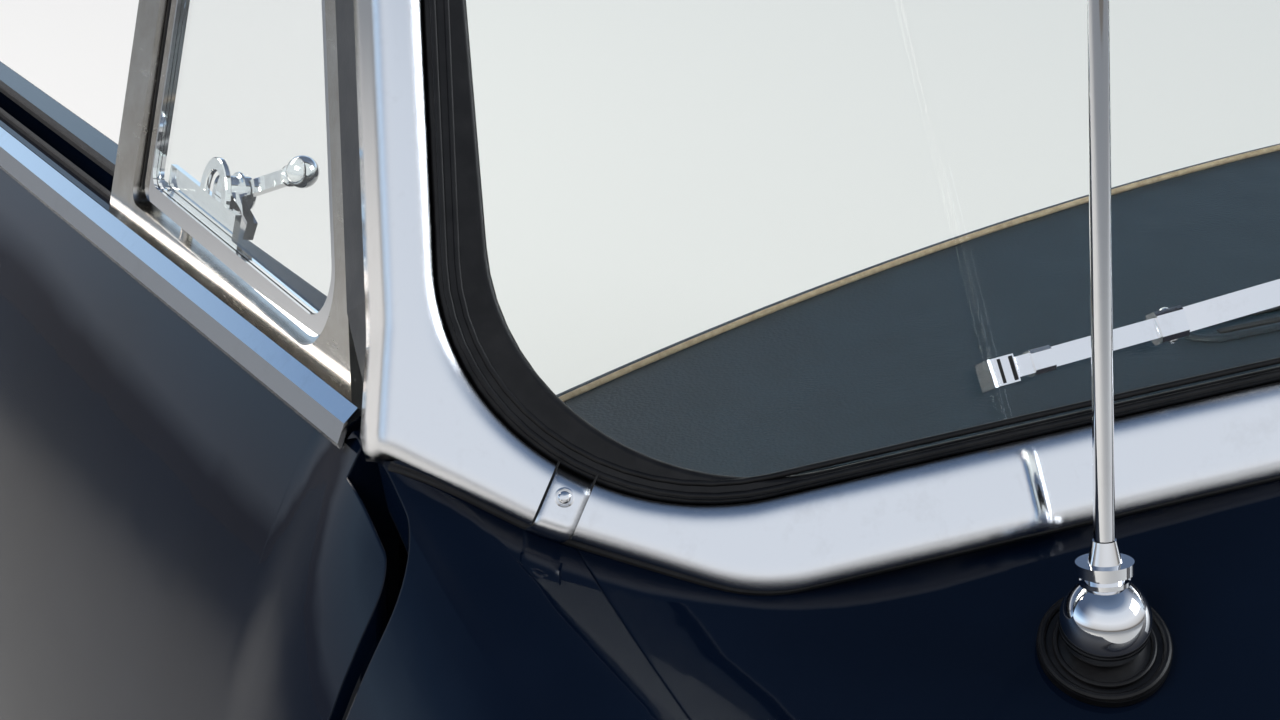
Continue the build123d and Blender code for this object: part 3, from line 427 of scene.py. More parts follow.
def fixing_tree(name, round_head):
    """Node tree that sets slotted domed screws, or hexagon bolts on washers, on a mesh's points."""
    tree = bpy.data.node_groups.new(name, "GeometryNodeTree")
    for socket, way, kind in (
        ("Geometry", "INPUT", "NodeSocketGeometry"), ("Head radius", "INPUT", "NodeSocketFloat"),
        ("Head height", "INPUT", "NodeSocketFloat"), ("Finish", "INPUT", "NodeSocketMaterial"),
        ("Geometry", "OUTPUT", "NodeSocketGeometry"),
    ):
        tree.interface.new_socket(socket, in_out=way, socket_type=kind)
    start = add(tree, "NodeGroupInput").outputs

    def times(socket, factor):
        return worked(tree, "MULTIPLY", start[socket], factor)

    if round_head:
        dome = add(tree, "GeometryNodeMeshUVSphere",
                   {"Segments": 28, "Rings": 12, "Radius": times("Head radius", 0.98)})
        head = add(tree, "GeometryNodeTransform",
                   {"Geometry": dome.outputs["Mesh"], "Scale": (1.0, 1.0, 0.5)})
        size = add(tree, "ShaderNodeCombineXYZ", {
            "X": times("Head radius", 2.6), "Y": times("Head radius", 0.24),
            "Z": times("Head radius", 0.5)})
        block = add(tree, "GeometryNodeMeshCube", {"Size": size.outputs[0]})
        lift = add(tree, "ShaderNodeCombineXYZ", {"Z": times("Head radius", 0.55)})
        cutter = add(tree, "GeometryNodeTransform",
                     {"Geometry": block.outputs["Mesh"], "Translation": lift.outputs[0]})
        whole = add(tree, "GeometryNodeMeshBoolean",
                    {"Mesh 1": head.outputs["Geometry"], "Mesh 2": cutter.outputs["Geometry"]},
                    operation="DIFFERENCE")
    else:
        washer = add(tree, "GeometryNodeMeshCylinder", {
            "Vertices": 28, "Radius": times("Head radius", 1.45),
            "Depth": times("Head height", 0.5)})
        hexagon = add(tree, "GeometryNodeMeshCylinder", {
            "Vertices": 6, "Radius": start["Head radius"], "Depth": times("Head height", 2.0)})
        whole = add(tree, "GeometryNodeJoinGeometry", {0: washer.outputs["Mesh"]})
        tree.links.new(hexagon.outputs["Mesh"], whole.inputs[0])
    facing = add(tree, "GeometryNodeInputNamedAttribute", data_type="FLOAT_VECTOR")
    facing.inputs["Name"].default_value = "facing"
    turn = add(tree, "FunctionNodeAlignRotationToVector",
               {"Vector": facing.outputs["Attribute"]}, axis="Z")
    place = add(tree, "GeometryNodeInstanceOnPoints", {
        "Points": start["Geometry"], "Instance": whole.outputs[0],
        "Rotation": turn.outputs["Rotation"]})
    real = add(tree, "GeometryNodeRealizeInstances", {"Geometry": place.outputs["Instances"]})
    dressed = add(tree, "GeometryNodeSetMaterial",
                  {"Geometry": real.outputs["Geometry"], "Material": start["Finish"]})
    add(tree, "NodeGroupOutput", {"Geometry": dressed.outputs["Geometry"]})
    return tree


def fixings(name, tree, spots, radius, height, finish, body="frame"):
    """Fixings on (point, direction) spots, made plain and given to a body."""
    mesh = bpy.data.meshes.new(name + "_points")
    mesh.from_pydata([tuple(place) for place, _ in spots], [], [])
    directions = mesh.attributes.new("facing", "FLOAT_VECTOR", "POINT")
    for number, (_, facing) in enumerate(spots):
        directions.data[number].vector = facing.normalized()
    source = bpy.data.objects.new(name + "_points", mesh)
    scene.collection.objects.link(source)
    modifier = source.modifiers.new("fixings", "NODES")
    modifier.node_group = tree
    values = {"Head radius": radius * MM, "Head height": height * MM, "Finish": finishes[finish]}
    for item in tree.interface.items_tree:
        if item.in_out == "INPUT" and item.name in values:
            modifier[item.identifier] = values[item.name]
    bpy.context.view_layer.update()
    seen = source.evaluated_get(bpy.context.evaluated_depsgraph_get())
    plain = bpy.data.meshes.new_from_object(seen)
    bpy.data.objects.remove(source)
    plain.name = name
    made = bpy.data.objects.new(name, plain)
    scene.collection.objects.link(made)
    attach(made, body)


# Studio


def add_camera():
    """Camera at the photograph's place."""
    data = bpy.data.cameras.new("camera")
    data.lens = CAMERA_LENS
    data.sensor_width = SENSOR_WIDTH
    camera = bpy.data.objects.new("camera", data)
    camera.location = CAMERA_AT
    camera.rotation_euler = CAMERA_LOOK.to_track_quat("-Z", "Y").to_euler()
    scene.collection.objects.link(camera)
    scene.camera = camera


def add_lamps():
    """Three soft boxes, of which gloss doesn't show the key."""
    for name, place, aim, width, height, watts, colour in LAMPS:
        data = bpy.data.lights.new(name, "AREA")
        data.shape = "RECTANGLE"
        data.size = width
        data.size_y = height
        data.energy = watts
        data.color = colour
        lamp = bpy.data.objects.new(name, data)
        lamp.location = place
        lamp.visible_glossy = name != "key_softbox"
        lamp.rotation_euler = (Vector(aim) - Vector(place)).to_track_quat("-Z", "Y").to_euler()
        scene.collection.objects.link(lamp)


def add_world():
    """Pale world; gloss shows a soft sky, brighter ahead of the piece than behind it."""
    world = bpy.data.worlds.new("studio")
    world.use_nodes = True
    scene.world = world
    tree = world.node_tree
    tree.nodes.clear()

    def background(colour, strength):
        inputs = {"Color": colour, "Strength": strength}
        return add(tree, "ShaderNodeBackground", inputs).outputs[0]

    def mixed(factor, first, second):
        return add(tree, "ShaderNodeMixShader", {"Fac": factor, 1: first, 2: second}).outputs[0]

    way = add(tree, "ShaderNodeTexCoord").outputs["Generated"]
    parts = add(tree, "ShaderNodeSeparateXYZ", {0: way}).outputs
    rear = ranged(tree, parts["Y"], *SKY_TURN, 0.0, 1.0, interpolation_type="SMOOTHSTEP")
    sky = add(tree, "ShaderNodeMix", data_type="RGBA")
    tree.links.new(rear, sky.inputs["Factor"])
    tree.links.new(ramp(tree, parts["Z"], SKY_FRONT), sky.inputs[6])
    tree.links.new(ramp(tree, parts["Z"], SKY_REAR), sky.inputs[7])
    rays, direct = looked_at(tree)
    lit = mixed(rays["Is Glossy Ray"], background(WORLD_COLOUR, WORLD_STRENGTH),
                background(sky.outputs[2], 1.0))
    seen = mixed(direct, lit, background(SEEN_COLOUR, 1.0))
    add(tree, "ShaderNodeOutputWorld", {"Surface": seen})


def add_floor():
    """Plain pale floor under the piece, which looks brighter further off."""
    low, half = cad_box[0][2] - FLOOR_DROP, FLOOR_SIZE / 2
    mesh = bpy.data.meshes.new("floor")
    corners = [(-half, -half, low), (half, -half, low), (half, half, low), (-half, half, low)]
    mesh.from_pydata(corners, [], [(0, 1, 2, 3)])
    floor = bpy.data.objects.new("floor", mesh)
    scene.collection.objects.link(floor)
    material, tree, shader = new_material("floor_paper", FLOOR_COLOUR, roughness=0.9)
    place = add(tree, "ShaderNodeTexCoord").outputs["Object"]
    reach = add(tree, "ShaderNodeVectorMath", {0: place}, operation="LENGTH").outputs["Value"]
    glow = ranged(tree, reach, *GLOW_REACH, *GLOW_STRENGTH)
    shader.inputs["Emission Color"].default_value = GLOW_COLOUR
    tree.links.new(worked(tree, "MULTIPLY", glow, looked_at(tree)[1]),
                   shader.inputs["Emission Strength"])
    mesh.materials.append(material)


# Materials


def new_material(name, colour, metallic=0.0, roughness=0.5, sockets=None):
    """Principled material with plain values on its sockets, its tree and its shader."""
    material = bpy.data.materials.new(name)
    material.use_nodes = True
    shader = material.node_tree.nodes["Principled BSDF"]
    values = {"Base Color": colour, "Metallic": metallic, "Roughness": roughness}
    for socket, value in {**values, **(sockets or {})}.items():
        shader.inputs[socket].default_value = value
    return material, material.node_tree, shader


def noise(tree, scale, detail=3.0, roughness=0.5, stretch=(1.0, 1.0, 1.0)):
    """Noise over the object's own coordinates, or cells where there is no detail."""
    place = add(tree, "ShaderNodeTexCoord").outputs["Object"]
    if detail is None:
        cells = add(tree, "ShaderNodeTexVoronoi", {"Vector": place, "Scale": scale})
        return cells.outputs["Distance"]
    mapping = add(tree, "ShaderNodeMapping", {"Vector": place, "Scale": stretch})
    return add(tree, "ShaderNodeTexNoise", {
        "Vector": mapping.outputs["Vector"], "Scale": scale, "Detail": detail,
        "Roughness": roughness}).outputs["Fac"]


def eased(tree, normal):
    """Normal eased over the door's section line, where its front and rear skins meet."""
    place = add(tree, "ShaderNodeTexCoord").outputs["Object"]
    parts = add(tree, "ShaderNodeSeparateXYZ", {0: place}).outputs
    aft = parts["Y"]
    rise = ranged(tree, parts["Z"], EASE_LOW, EASE_HIGH, 0.0, 1.0)
    amount = worked(tree, "MULTIPLY", worked(tree, "POWER", rise, EASE_POWER), EASE_TILT)
    front = ranged(tree, aft, SECTION_LINE - EASE_FRONT, SECTION_LINE, 0.0, 1.0)
    rear = ranged(tree, aft, SECTION_LINE, SECTION_LINE + EASE_REAR, -1.0, 0.0)
    ahead = worked(tree, "LESS_THAN", aft, SECTION_LINE)
    before = worked(tree, "MULTIPLY", front, ahead)
    behind = worked(tree, "MULTIPLY", rear, worked(tree, "SUBTRACT", 1.0, ahead))
    tilt = worked(tree, "MULTIPLY", worked(tree, "ADD", before, behind), amount)
    shift = add(tree, "ShaderNodeCombineXYZ", {"Y": tilt}).outputs[0]
    moved = add(tree, "ShaderNodeVectorMath", {0: normal, 1: shift}, operation="ADD").outputs[0]
    return add(tree, "ShaderNodeVectorMath", {0: moved}, operation="NORMALIZE").outputs[0]


def finished(name, colour, tones, wear, bumps, edge=None, ease=False, **values):
    """Material in layers over noise.

    Tones are (noise, colour stops), wear is (noise, low and high roughness), and each bump is
    (noise, strength, distance in metres). The edge is the radius, in metres, that rounds edges to
    the eye, and ease smooths the door's section line.
    """
    material, tree, shader = new_material(name, colour, **values)
    if tones:
        tree.links.new(ramp(tree, noise(tree, *tones[0]), tones[1]), shader.inputs["Base Color"])
    grain, low, high = wear
    tree.links.new(ranged(tree, noise(tree, *grain), 0.0, 1.0, low, high),
                   shader.inputs["Roughness"])
    normal = None
    if edge:
        normal = add(tree, "ShaderNodeBevel", {"Radius": edge}, samples=6).outputs["Normal"]
    if ease:
        normal = eased(tree, normal)
    for grain, strength, distance in bumps:
        inputs = {"Height": noise(tree, *grain), "Strength": strength, "Distance": distance}
        if normal is not None:
            inputs["Normal"] = normal
        normal = add(tree, "ShaderNodeBump", inputs).outputs["Normal"]
    tree.links.new(normal, shader.inputs["Normal"])
    if shader.inputs["Coat Weight"].default_value > 0:
        tree.links.new(normal, shader.inputs["Coat Normal"])
    return material


def plain_look(name, low, high, roughness, scale):
    """Small piece's look, wandering between two colours, with a fine grain."""
    return dict(
        name=name, colour=low, roughness=roughness,
        tones=((scale, 4.0, 0.6), [(0.35, low), (0.65, high)]),
        wear=((scale * 0.5, 3.0), roughness * 0.85, min(1.0, roughness * 1.15)),
        bumps=[((scale * 4.0, 2.0), 0.15, 0.0001)])


# Polished chrome with fine wiping marks and a few specks of haze
CHROME = dict(
    colour=(0.86, 0.87, 0.89, 1), metallic=1.0, roughness=0.06,
    tones=((40.0, 8.0, 0.7), [
        (0.28, (0.84, 0.84, 0.85, 1)),
        (0.46, (0.90, 0.905, 0.92, 1)),
    ]),
    wear=((160.0, 8.0, 0.75, (1.0, 1.0, 0.25)), 0.025, 0.07),
    bumps=[((900.0, 3.0, 0.6, (1.0, 1.0, 0.12)), 0.03, 0.0001), ((14.0, 1.0), 0.02, 0.0004)])
# Thin clear glass with a faint film of dust
GLASS = dict(
    roughness=0.0, tones=None, wear=((30.0, 8.0, 0.7), 0.0, 0.035),
    bumps=[((3.0, 1.0), 0.03, 0.0005)],
    sockets={"Transmission Weight": 1.0, "IOR": 1.22, "Specular IOR Level": 0.2})
LOOKS = {
    # Deep midnight-blue enamel under polish, with faint orange peel and dust
    "body_paint": dict(
        name="midnight_enamel", colour=(0.001, 0.003, 0.009, 1), roughness=0.35,
        tones=((6.0, 4.0), [
            (0.30, (0.0007, 0.0022, 0.0072, 1)),
            (0.72, (0.0016, 0.0044, 0.0125, 1)),
        ]),
        wear=((90.0, 6.0, 0.7), 0.30, 0.46),
        bumps=[((420.0, 2.0), 0.008, 0.0002), ((7.0, 2.0), 0.015, 0.0006)],
        edge=0.0012, ease=True,
        sockets={"IOR": 1.05, "Coat Weight": 0.75, "Coat Roughness": 0.03, "Coat IOR": 1.37}),
    # Satin dark paint on the structure, with brushed runs and dust in it
    "inner_paint": dict(
        name="satin_inner_paint", colour=(0.02, 0.022, 0.027, 1),
        tones=((14.0, 8.0, 0.65), [
            (0.30, (0.012, 0.014, 0.018, 1)),
            (0.62, (0.026, 0.029, 0.035, 1)),
            (0.80, (0.060, 0.057, 0.052, 1)),
        ]),
        wear=((60.0, 6.0), 0.38, 0.68), bumps=[((700.0, 4.0), 0.25, 0.0003)]),
    "bright_metal": dict(CHROME, name="polished_chrome"),
    "surround": dict(CHROME, name="surround_chrome", edge=0.008),
    "clip": dict(CHROME, name="clip_chrome", edge=0.004),
    # Satin stainless of the vent frame, drawn along its bars; its colour is tinted tan as a painted
    # reflection of warm surroundings
    "bright_steel": dict(
        name="satin_stainless", colour=(0.62, 0.59, 0.53, 1), metallic=1.0, roughness=0.25,
        tones=((25.0, 8.0, 0.7), [
            (0.30, (0.50, 0.46, 0.40, 1)),
            (0.60, (0.68, 0.66, 0.62, 1)),
        ]),
        wear=((200.0, 6.0, 0.7, (1.0, 0.2, 1.0)), 0.16, 0.34),
        bumps=[((1200.0, 2.0, 0.5, (1.0, 0.1, 1.0)), 0.12, 0.0001)]),
    "screen_glass": dict(GLASS, name="screen_glass_clear", colour=(0.93, 0.97, 0.95, 1)),
    "side_glass": dict(GLASS, name="side_glass_clear", colour=(0.94, 0.97, 0.96, 1)),
    # Black weather rubber with a dry bloom in its grain
    "seal_rubber": dict(
        name="weather_rubber", colour=(0.004, 0.004, 0.005, 1), roughness=0.42,
        tones=((80.0, 8.0, 0.7), [
            (0.40, (0.0025, 0.0025, 0.003, 1)),
            (0.80, (0.010, 0.010, 0.011, 1)),
        ]),
        wear=((120.0, 6.0), 0.34, 0.50), bumps=[((1100.0, 3.0), 0.2, 0.0001)],
        sockets={"Specular IOR Level": 0.32}),
    # Dark blue-grey grained cover of the dashboard's top
    "dash_cover": dict(
        name="dash_cover_grain", colour=(0.016, 0.028, 0.036, 1),
        tones=((500.0, 4.0, 0.7), [
            (0.30, (0.003, 0.010, 0.018, 1)),
            (0.60, (0.007, 0.020, 0.032, 1)),
            (0.82, (0.028, 0.050, 0.066, 1)),
        ]),
        wear=((40.0, 4.0), 0.40, 0.58),
        bumps=[((620.0, None), 0.5, 0.0003), ((60.0, 3.0), 0.15, 0.0006)],
        sockets={"Specular IOR Level": 0.35}),
    # Dark grained door card
    "door_card": dict(
        name="door_card_grain", colour=(0.030, 0.034, 0.042, 1), roughness=0.55,
        tones=((18.0, 6.0, 0.6), [
            (0.30, (0.022, 0.026, 0.034, 1)),
            (0.70, (0.046, 0.050, 0.060, 1)),
        ]),
        wear=((70.0, 4.0), 0.42, 0.62),
        bumps=[((420.0, None), 0.6, 0.0004), ((25.0, 3.0), 0.2, 0.001)]),
    # Zinc-plated steel of the hinges and fixings
    "plain_steel": dict(
        name="zinc_plate", colour=(0.42, 0.41, 0.38, 1), metallic=1.0, roughness=0.42,
        tones=((60.0, 8.0, 0.7), [
            (0.32, (0.26, 0.25, 0.23, 1)),
            (0.60, (0.48, 0.47, 0.44, 1)),
        ]),
        wear=((90.0, 4.0), 0.32, 0.60), bumps=[((500.0, 4.0), 0.2, 0.0002)]),
    "piping": plain_look(
        "tan_piping", (0.36, 0.26, 0.16, 1), (0.50, 0.38, 0.25, 1), 0.45, 300.0),
    # Near-black stand-in: painted shade in the blades' cap slots and the demister slits, painted
    # shadow lines along the clips, and the dark joint round the glovebox lid
    "void": plain_look(
        "painted_shade_and_joint_black", (0.003, 0.003, 0.003, 1), (0.008, 0.008, 0.008, 1), 0.7, 200.0),
    "felt": plain_look(
        "window_felt", (0.010, 0.010, 0.011, 1), (0.040, 0.040, 0.042, 1), 0.95, 900.0),
    "ivory": plain_look(
        "ivory_plastic", (0.58, 0.52, 0.38, 1), (0.66, 0.60, 0.46, 1), 0.3, 30.0),
    "dial": plain_look(
        "dial_face", (0.006, 0.006, 0.007, 1), (0.014, 0.014, 0.015, 1), 0.4, 60.0),
}
OWN_CHROME = {"surround": "surround", "joint": "clip"}


def dress_nodes():
    """Give each node the finish of its slot; the surround and the clips have their own chrome."""
    for part in frame["record"]["subparts"]:
        mesh = nodes[part["node"]].data
        finish = OWN_CHROME.get(part["node"].split("_")[0], part["material_slot"])
        if not mesh.materials:
            mesh.materials.append(None)
        for number in range(len(mesh.materials)):
            mesh.materials[number] = finishes[finish]


# Details


def seal_details():
    """Three lips round the windscreen seal, and its joints."""
    for name, edge, grow, height, radius in SEAL_LIPS:
        path = [on_screen(x, s, height) for x, s in trapezium(edge, grow)]
        lip = sweep(name, path, circle(radius, 12), "seal_rubber", closed=True)
    for side, tag in SIDES.items():
        path = [on_screen(side * x, s, SEAL_FRONT + 0.4) for x, s in SEAL_JOINT]
        joint = sweep("seal_joint_" + tag, path, rectangle(2.2, 1.6), "seal_rubber")


def body_gasket():
    """Thin rubber between the surround's foot and the paint."""
    skin = skin_of("cowl", "wing_left", "wing_right")
    centre = Vector((0, 160))
    path = []
    for spot in surround_path():
        if spot.y > GASKET_TOP:
            continue
        out = (spot - centre).normalized() * 0.4
        start, _ = on_screen(spot.x + out.x, spot.y + out.y, 40)
        hit, normal, _, _ = skin.ray_cast(start, -SCREEN_OUT)
        if hit is not None and (start - hit).length < GASKET_REACH:
            path.append((hit + normal * 0.0002, normal))
    path.sort(key=lambda item: item[0].x)
    sweep("surround_gasket", path, circle(1.5, 10), "seal_rubber")


def clip_details():
    """Domed slotted screw in a dimple on each clip, and the shadow lines along the clip."""
    spots = []
    for side, tag in SIDES.items():
        start = Vector((side * 0.6020, 0.0410, 0.6010))
        way = Vector((-side * 0.40, 0.80, -0.46)).normalized()
        hit, normal, _, _ = skin_of("joint_clip_" + tag).ray_cast(start - way * 0.05, way)
        spots.append((hit + normal * 0.0002, normal))
        turned("clip_dimple_" + tag, hit - normal * 0.0004, normal,
               [(3.9, 0), (3.9, 0.55), (3.3, 0.75), (2.9, 0.5), (2.8, 0.45)], "bright_metal")
    fixings("clip_screws", SCREW, spots, 2.6, 1.0, "bright_metal")
    along, across = cos(CLIP_TURN), sin(CLIP_TURN)
    for side, tag in SIDES.items():
        for edge, reach in CLIP_EDGES:
            line = []
            for step in range(-13, 14, 2):
                x = CLIP_MIDDLE[0] + reach * along - step * across
                s = CLIP_MIDDLE[1] + reach * across + step * along
                line.append(on_screen(side * x, s, CLIP_TOP))
            sweep("clip_edge_%s_%s" % (tag, edge), line, circle(0.45, 8), "void")


def dash_height(x):
    """Height of the dashboard's crowned top."""
    crown, radius = DASH_CROWN
    return crown - radius + sqrt(radius**2 - x**2)


def dash_rear(x):
    """Distance aft of the dashboard's bowed rear edge."""
    edge, twice = DASH_EDGE
    return edge - x**2 / twice


def dash_details():
    """Piping and rolled lip on the dashboard's top, and a demister outlet on each side."""
    for name, back, lift, radius, finish in DASH_ROLLS:
        path = [(at(x, dash_rear(x) - back, dash_height(x) + lift), UP)
                for x in range(-580, 581, 10)]
        sweep(name, path, circle(radius, 12), finish)
    skin = skin_of("dash_top")

    def on_top(side, along, aft, lift):
        x = side * (DEMISTER_X + along)
        y = -70.0 + (abs(x) - 268.0) * DEMISTER_SLANT + aft
        hit, normal, _, _ = skin.ray_cast(at(x, y, 700), DOWN)
        return hit + normal * lift * MM, normal

    for side, tag in SIDES.items():
        name = "demister_%s_1" % tag
        lip = [on_top(side, *spot, 0.4) for spot in rounded_box(-68, -13, 68, 13, 12.5, 5.0)]
        sweep(name + "_lip", lip, circle(2.6, 12, 0.6), "dash_cover", closed=True)
        # Each slit is a near-black bar, painted shade standing in for the outlet's opening
        for slit, aft in (("front", -5.5), ("rear", 5.5)):
            path = [on_top(side, step * 5.0, aft, 0.3) for step in range(-11, 12)]
            sweep("%s_slit_%s" % (name, slit), path, rectangle(3.4, 1.0), "void")


def face_point(x, z, out=0.0):
    """Point and outward direction on the dashboard's face."""
    normal = Vector((2 * x / DASH_EDGE[1], 1, 0)).normalized()
    return at(x, dash_rear(x) - DASH_FACE_BACK, z) + normal * out * MM, normal


def dial(name, x, z, radius):
    """Dial without words: bezel, plate, marks, needle and hub."""
    place, normal = face_point(x, z)
    aside = UP.cross(normal)

    def hand(label, degrees, lift, reach, size):
        way = UP * cos(radians(degrees)) + aside * sin(radians(degrees))
        slab(name + label, place + normal * lift + way * reach * MM, way, normal, size, "ivory")

    turned(name + "_bezel", place, normal,
           [(radius, 0), (radius, 4), (radius - 2, 7.5), (radius - 4.5, 7), (radius - 5.5, 3),
            (radius - 6, 2.5)], "bright_metal", count=48)
    turned(name + "_plate", place + normal * 0.0024, normal,
           [(radius - 5.6, 0), (radius - 5.6, 0.5)], "dial", count=48, sharp=20)
    for mark in range(MARKS):
        hand("_mark_%d" % (mark + 1), FIRST_MARK + MARK_STEP * mark, 0.0031, radius - 11,
             (radius * 0.12, 1.1, 0.4))
    hand("_needle", NEEDLE, 0.0042, radius * 0.28, (radius * 0.85, 1.3, 0.5))
    turned(name + "_hub", place + normal * 0.0026, normal, [(3.6, 0), (3.6, 1.8), (2.4, 2.6)],
           "bright_metal")


def dash_face():
    """Dials, switches, speaker grille, lid and bright strips on the dashboard's face."""
    for number, (x, z, radius) in enumerate(DIALS):
        dial("dial_%d" % (number + 1), x, z, radius)
    for number, x in enumerate(SWITCHES):
        place, normal = face_point(x, 500)
        name = "switch_%d" % (number + 1)
        turned(name + "_collar", place, normal, [(8.5, 0), (8.5, 1.5), (6.5, 2.8)],
               "bright_metal")
        turned(name + "_knob", place + normal * 0.0026, normal,
               [(2.6, 0), (2.6, 10), (6.5, 11.5), (8.0, 15), (7.2, 18.5), (4.0, 20.0)], "ivory")
    rim = [face_point(x, z, 0.3) for x, z in rounded_box(-88, 528, 88, 582, 10)]
    sweep("speaker_rim", rim, circle(2.4, 10), "bright_metal", closed=True)
    for number in range(9):
        path = [face_point(x, 533.5 + number * 5.5, 0.6) for x in range(-80, 81, 16)]
        sweep("speaker_bar_%d" % (number + 1), path, rectangle(2.4, 2.4), "bright_metal")
    edge = [face_point(x, z, 0.2) for x, z in rounded_box(-500, 480, -160, 582, 12)]
    sweep("glovebox_edge", edge, circle(1.2, 8), "void", closed=True)
    place, normal = face_point(-330, 566)
    turned("glovebox_knob", place, normal,
           [(11, 0), (11, 2), (8, 4), (7, 10), (10, 13), (9, 17), (5, 18.5)], "bright_metal")
    for name, z, radius in (("dash_strip_upper", 594, 2.4), ("dash_strip_lower", 462, 3.2)):
        path = [face_point(x, min(z, dash_height(x) - 24), 0.6) for x in range(-575, 576, 12)]
        sweep(name, path, circle(radius, 10), "bright_metal")


def blade_place(side, x, y, z):
    """Point on a parked blade, from its own millimetres over its bow, and its axes."""
    turn = BLADE_TURN[side]
    normal = SCREEN_OUT * cos(turn) + ACROSS * sin(turn)
    tangent = ACROSS * cos(turn) - SCREEN_OUT * sin(turn)
    along = tangent * cos(BLADE_ANGLE) + SCREEN_UP * sin(BLADE_ANGLE)
    aside = SCREEN_UP * cos(BLADE_ANGLE) - tangent * sin(BLADE_ANGLE)
    centre = (Vector(SCREEN_ORIGIN) + SCREEN_UP * BLADE_RISE - SCREEN_OUT * GLASS_R
              + normal * (GLASS_R + BLADE_GAP))
    place = centre + along * x + aside * y + normal * (z - x**2 / BLADE_BOW)
    return at(*place), along, aside, normal


def wiper_details():
    """Slots in the blades' end caps, crimps, riveted claws, and pivots."""
    for side, tag in SIDES.items():
        body, label = "wiper_arm_" + tag, "blade_%s_" % tag
        for end, end_name in ((-1, "inner"), (1, "outer")):
            # The end caps' slots are near-black slabs, painted shade standing in for the openings
            for number, offset in enumerate((154.5, 159.5)):
                place, _, aside, normal = blade_place(side, end * offset, 0, 14.7)
                slab("%scap_slot_%s_%d" % (label, end_name, number + 1), place, aside, normal,
                     (9.6, 1.3, 1.6), "void", body)
            for name, x, height, size in (
                ("crimp_", 142.0, 10.4, (9.0, 10.0, 9.4)),
                ("claw_", CLAW_X, 11.0, (12.0, 12.4, 11.0)),
            ):
                place, along, _, normal = blade_place(side, end * x, 0, height)
                slab(label + name + end_name, place, along, normal, size, "bright_metal", body)
            spots = []
            for flank in (-1, 1):
                spot, _, aside, _ = blade_place(side, end * CLAW_X, flank * 6.2, 11.5)
                spots.append((spot, aside * flank))
            fixings(label + "rivets_" + end_name, SCREW, spots, 2.0, 0.8, "bright_metal", body)
        place, _, aside, _ = blade_place(side, 0, 0, 25.0)
        turned(label + "pivot", place - aside * 0.0078, aside,
               [(2.4, 0), (3.4, 0.8), (3.4, 14.8), (2.4, 15.6)], "bright_metal", body)


def aerial_details():
    """Raised rim and bead of the rubber pad under the aerial."""
    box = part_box("aerial_pad")
    normal = Vector((-0.24, -0.44, 0.864)).normalized()
    pad_top = (Vector(box[0]) + Vector(box[1])) / 2 + normal * 0.0014
    ring("aerial_pad_rim", pad_top, normal, 23.6, 1.7, "seal_rubber", count=56)
    ring("aerial_pad_bead", pad_top + normal * 0.0006, normal, 18.6, 1.1, "seal_rubber",
         count=48)


def latch_details():
    """Ring, cap, round ball end, neck and hooked bracket of each vent window's latch."""
    for side, tag in SIDES.items():
        body, name = "door_" + tag, "latch_" + tag
        _, out = vent_axes(side)
        pivot = vent_point(side, *LATCH_PIVOT, LATCH_DEEP)
        ring(name + "_ring", pivot, out, 8.6, 1.3, "bright_metal", body)
        turned(name + "_cap", vent_point(side, *LATCH_PIVOT, LATCH_DEEP - 4.6), -out,
               [(7.6, 0), (7.0, 1.6), (4.6, 3.0), (2.0, 3.5)], "bright_metal", body)
        ball = []
        for step in range(BALL_STEPS + 1):
            angle = pi * step / BALL_STEPS
            ball.append((max(0.9, BALL_R * sin(angle)), BALL_R - BALL_R * cos(angle)))
        turned(name + "_ball", vent_point(side, *LATCH_BALL, LATCH_DEEP - BALL_R), out, ball,
               "bright_metal", body, 28, 60)
        lever = (vent_point(side, *LATCH_BALL) - vent_point(side, *LATCH_PIVOT)).normalized()
        turned(name + "_neck", pivot + lever * 0.060, lever,
               [(4.2, 0), (5.0, 1.0), (5.0, 3.0), (4.2, 4.0)], "bright_metal", body, 24)
        hook = []
        for step in range(15):
            angle = radians(200 - step * 14.5)
            hook.append((250 + 13.5 * cos(angle), 31 + 15.0 * sin(angle)))
        hook.append((264.5, 14))
        path = [(vent_point(side, y, w, -5.7), out) for y, w in hook]
        sweep(name + "_bracket", path, rectangle(6.0, 3.0), "bright_metal", body)


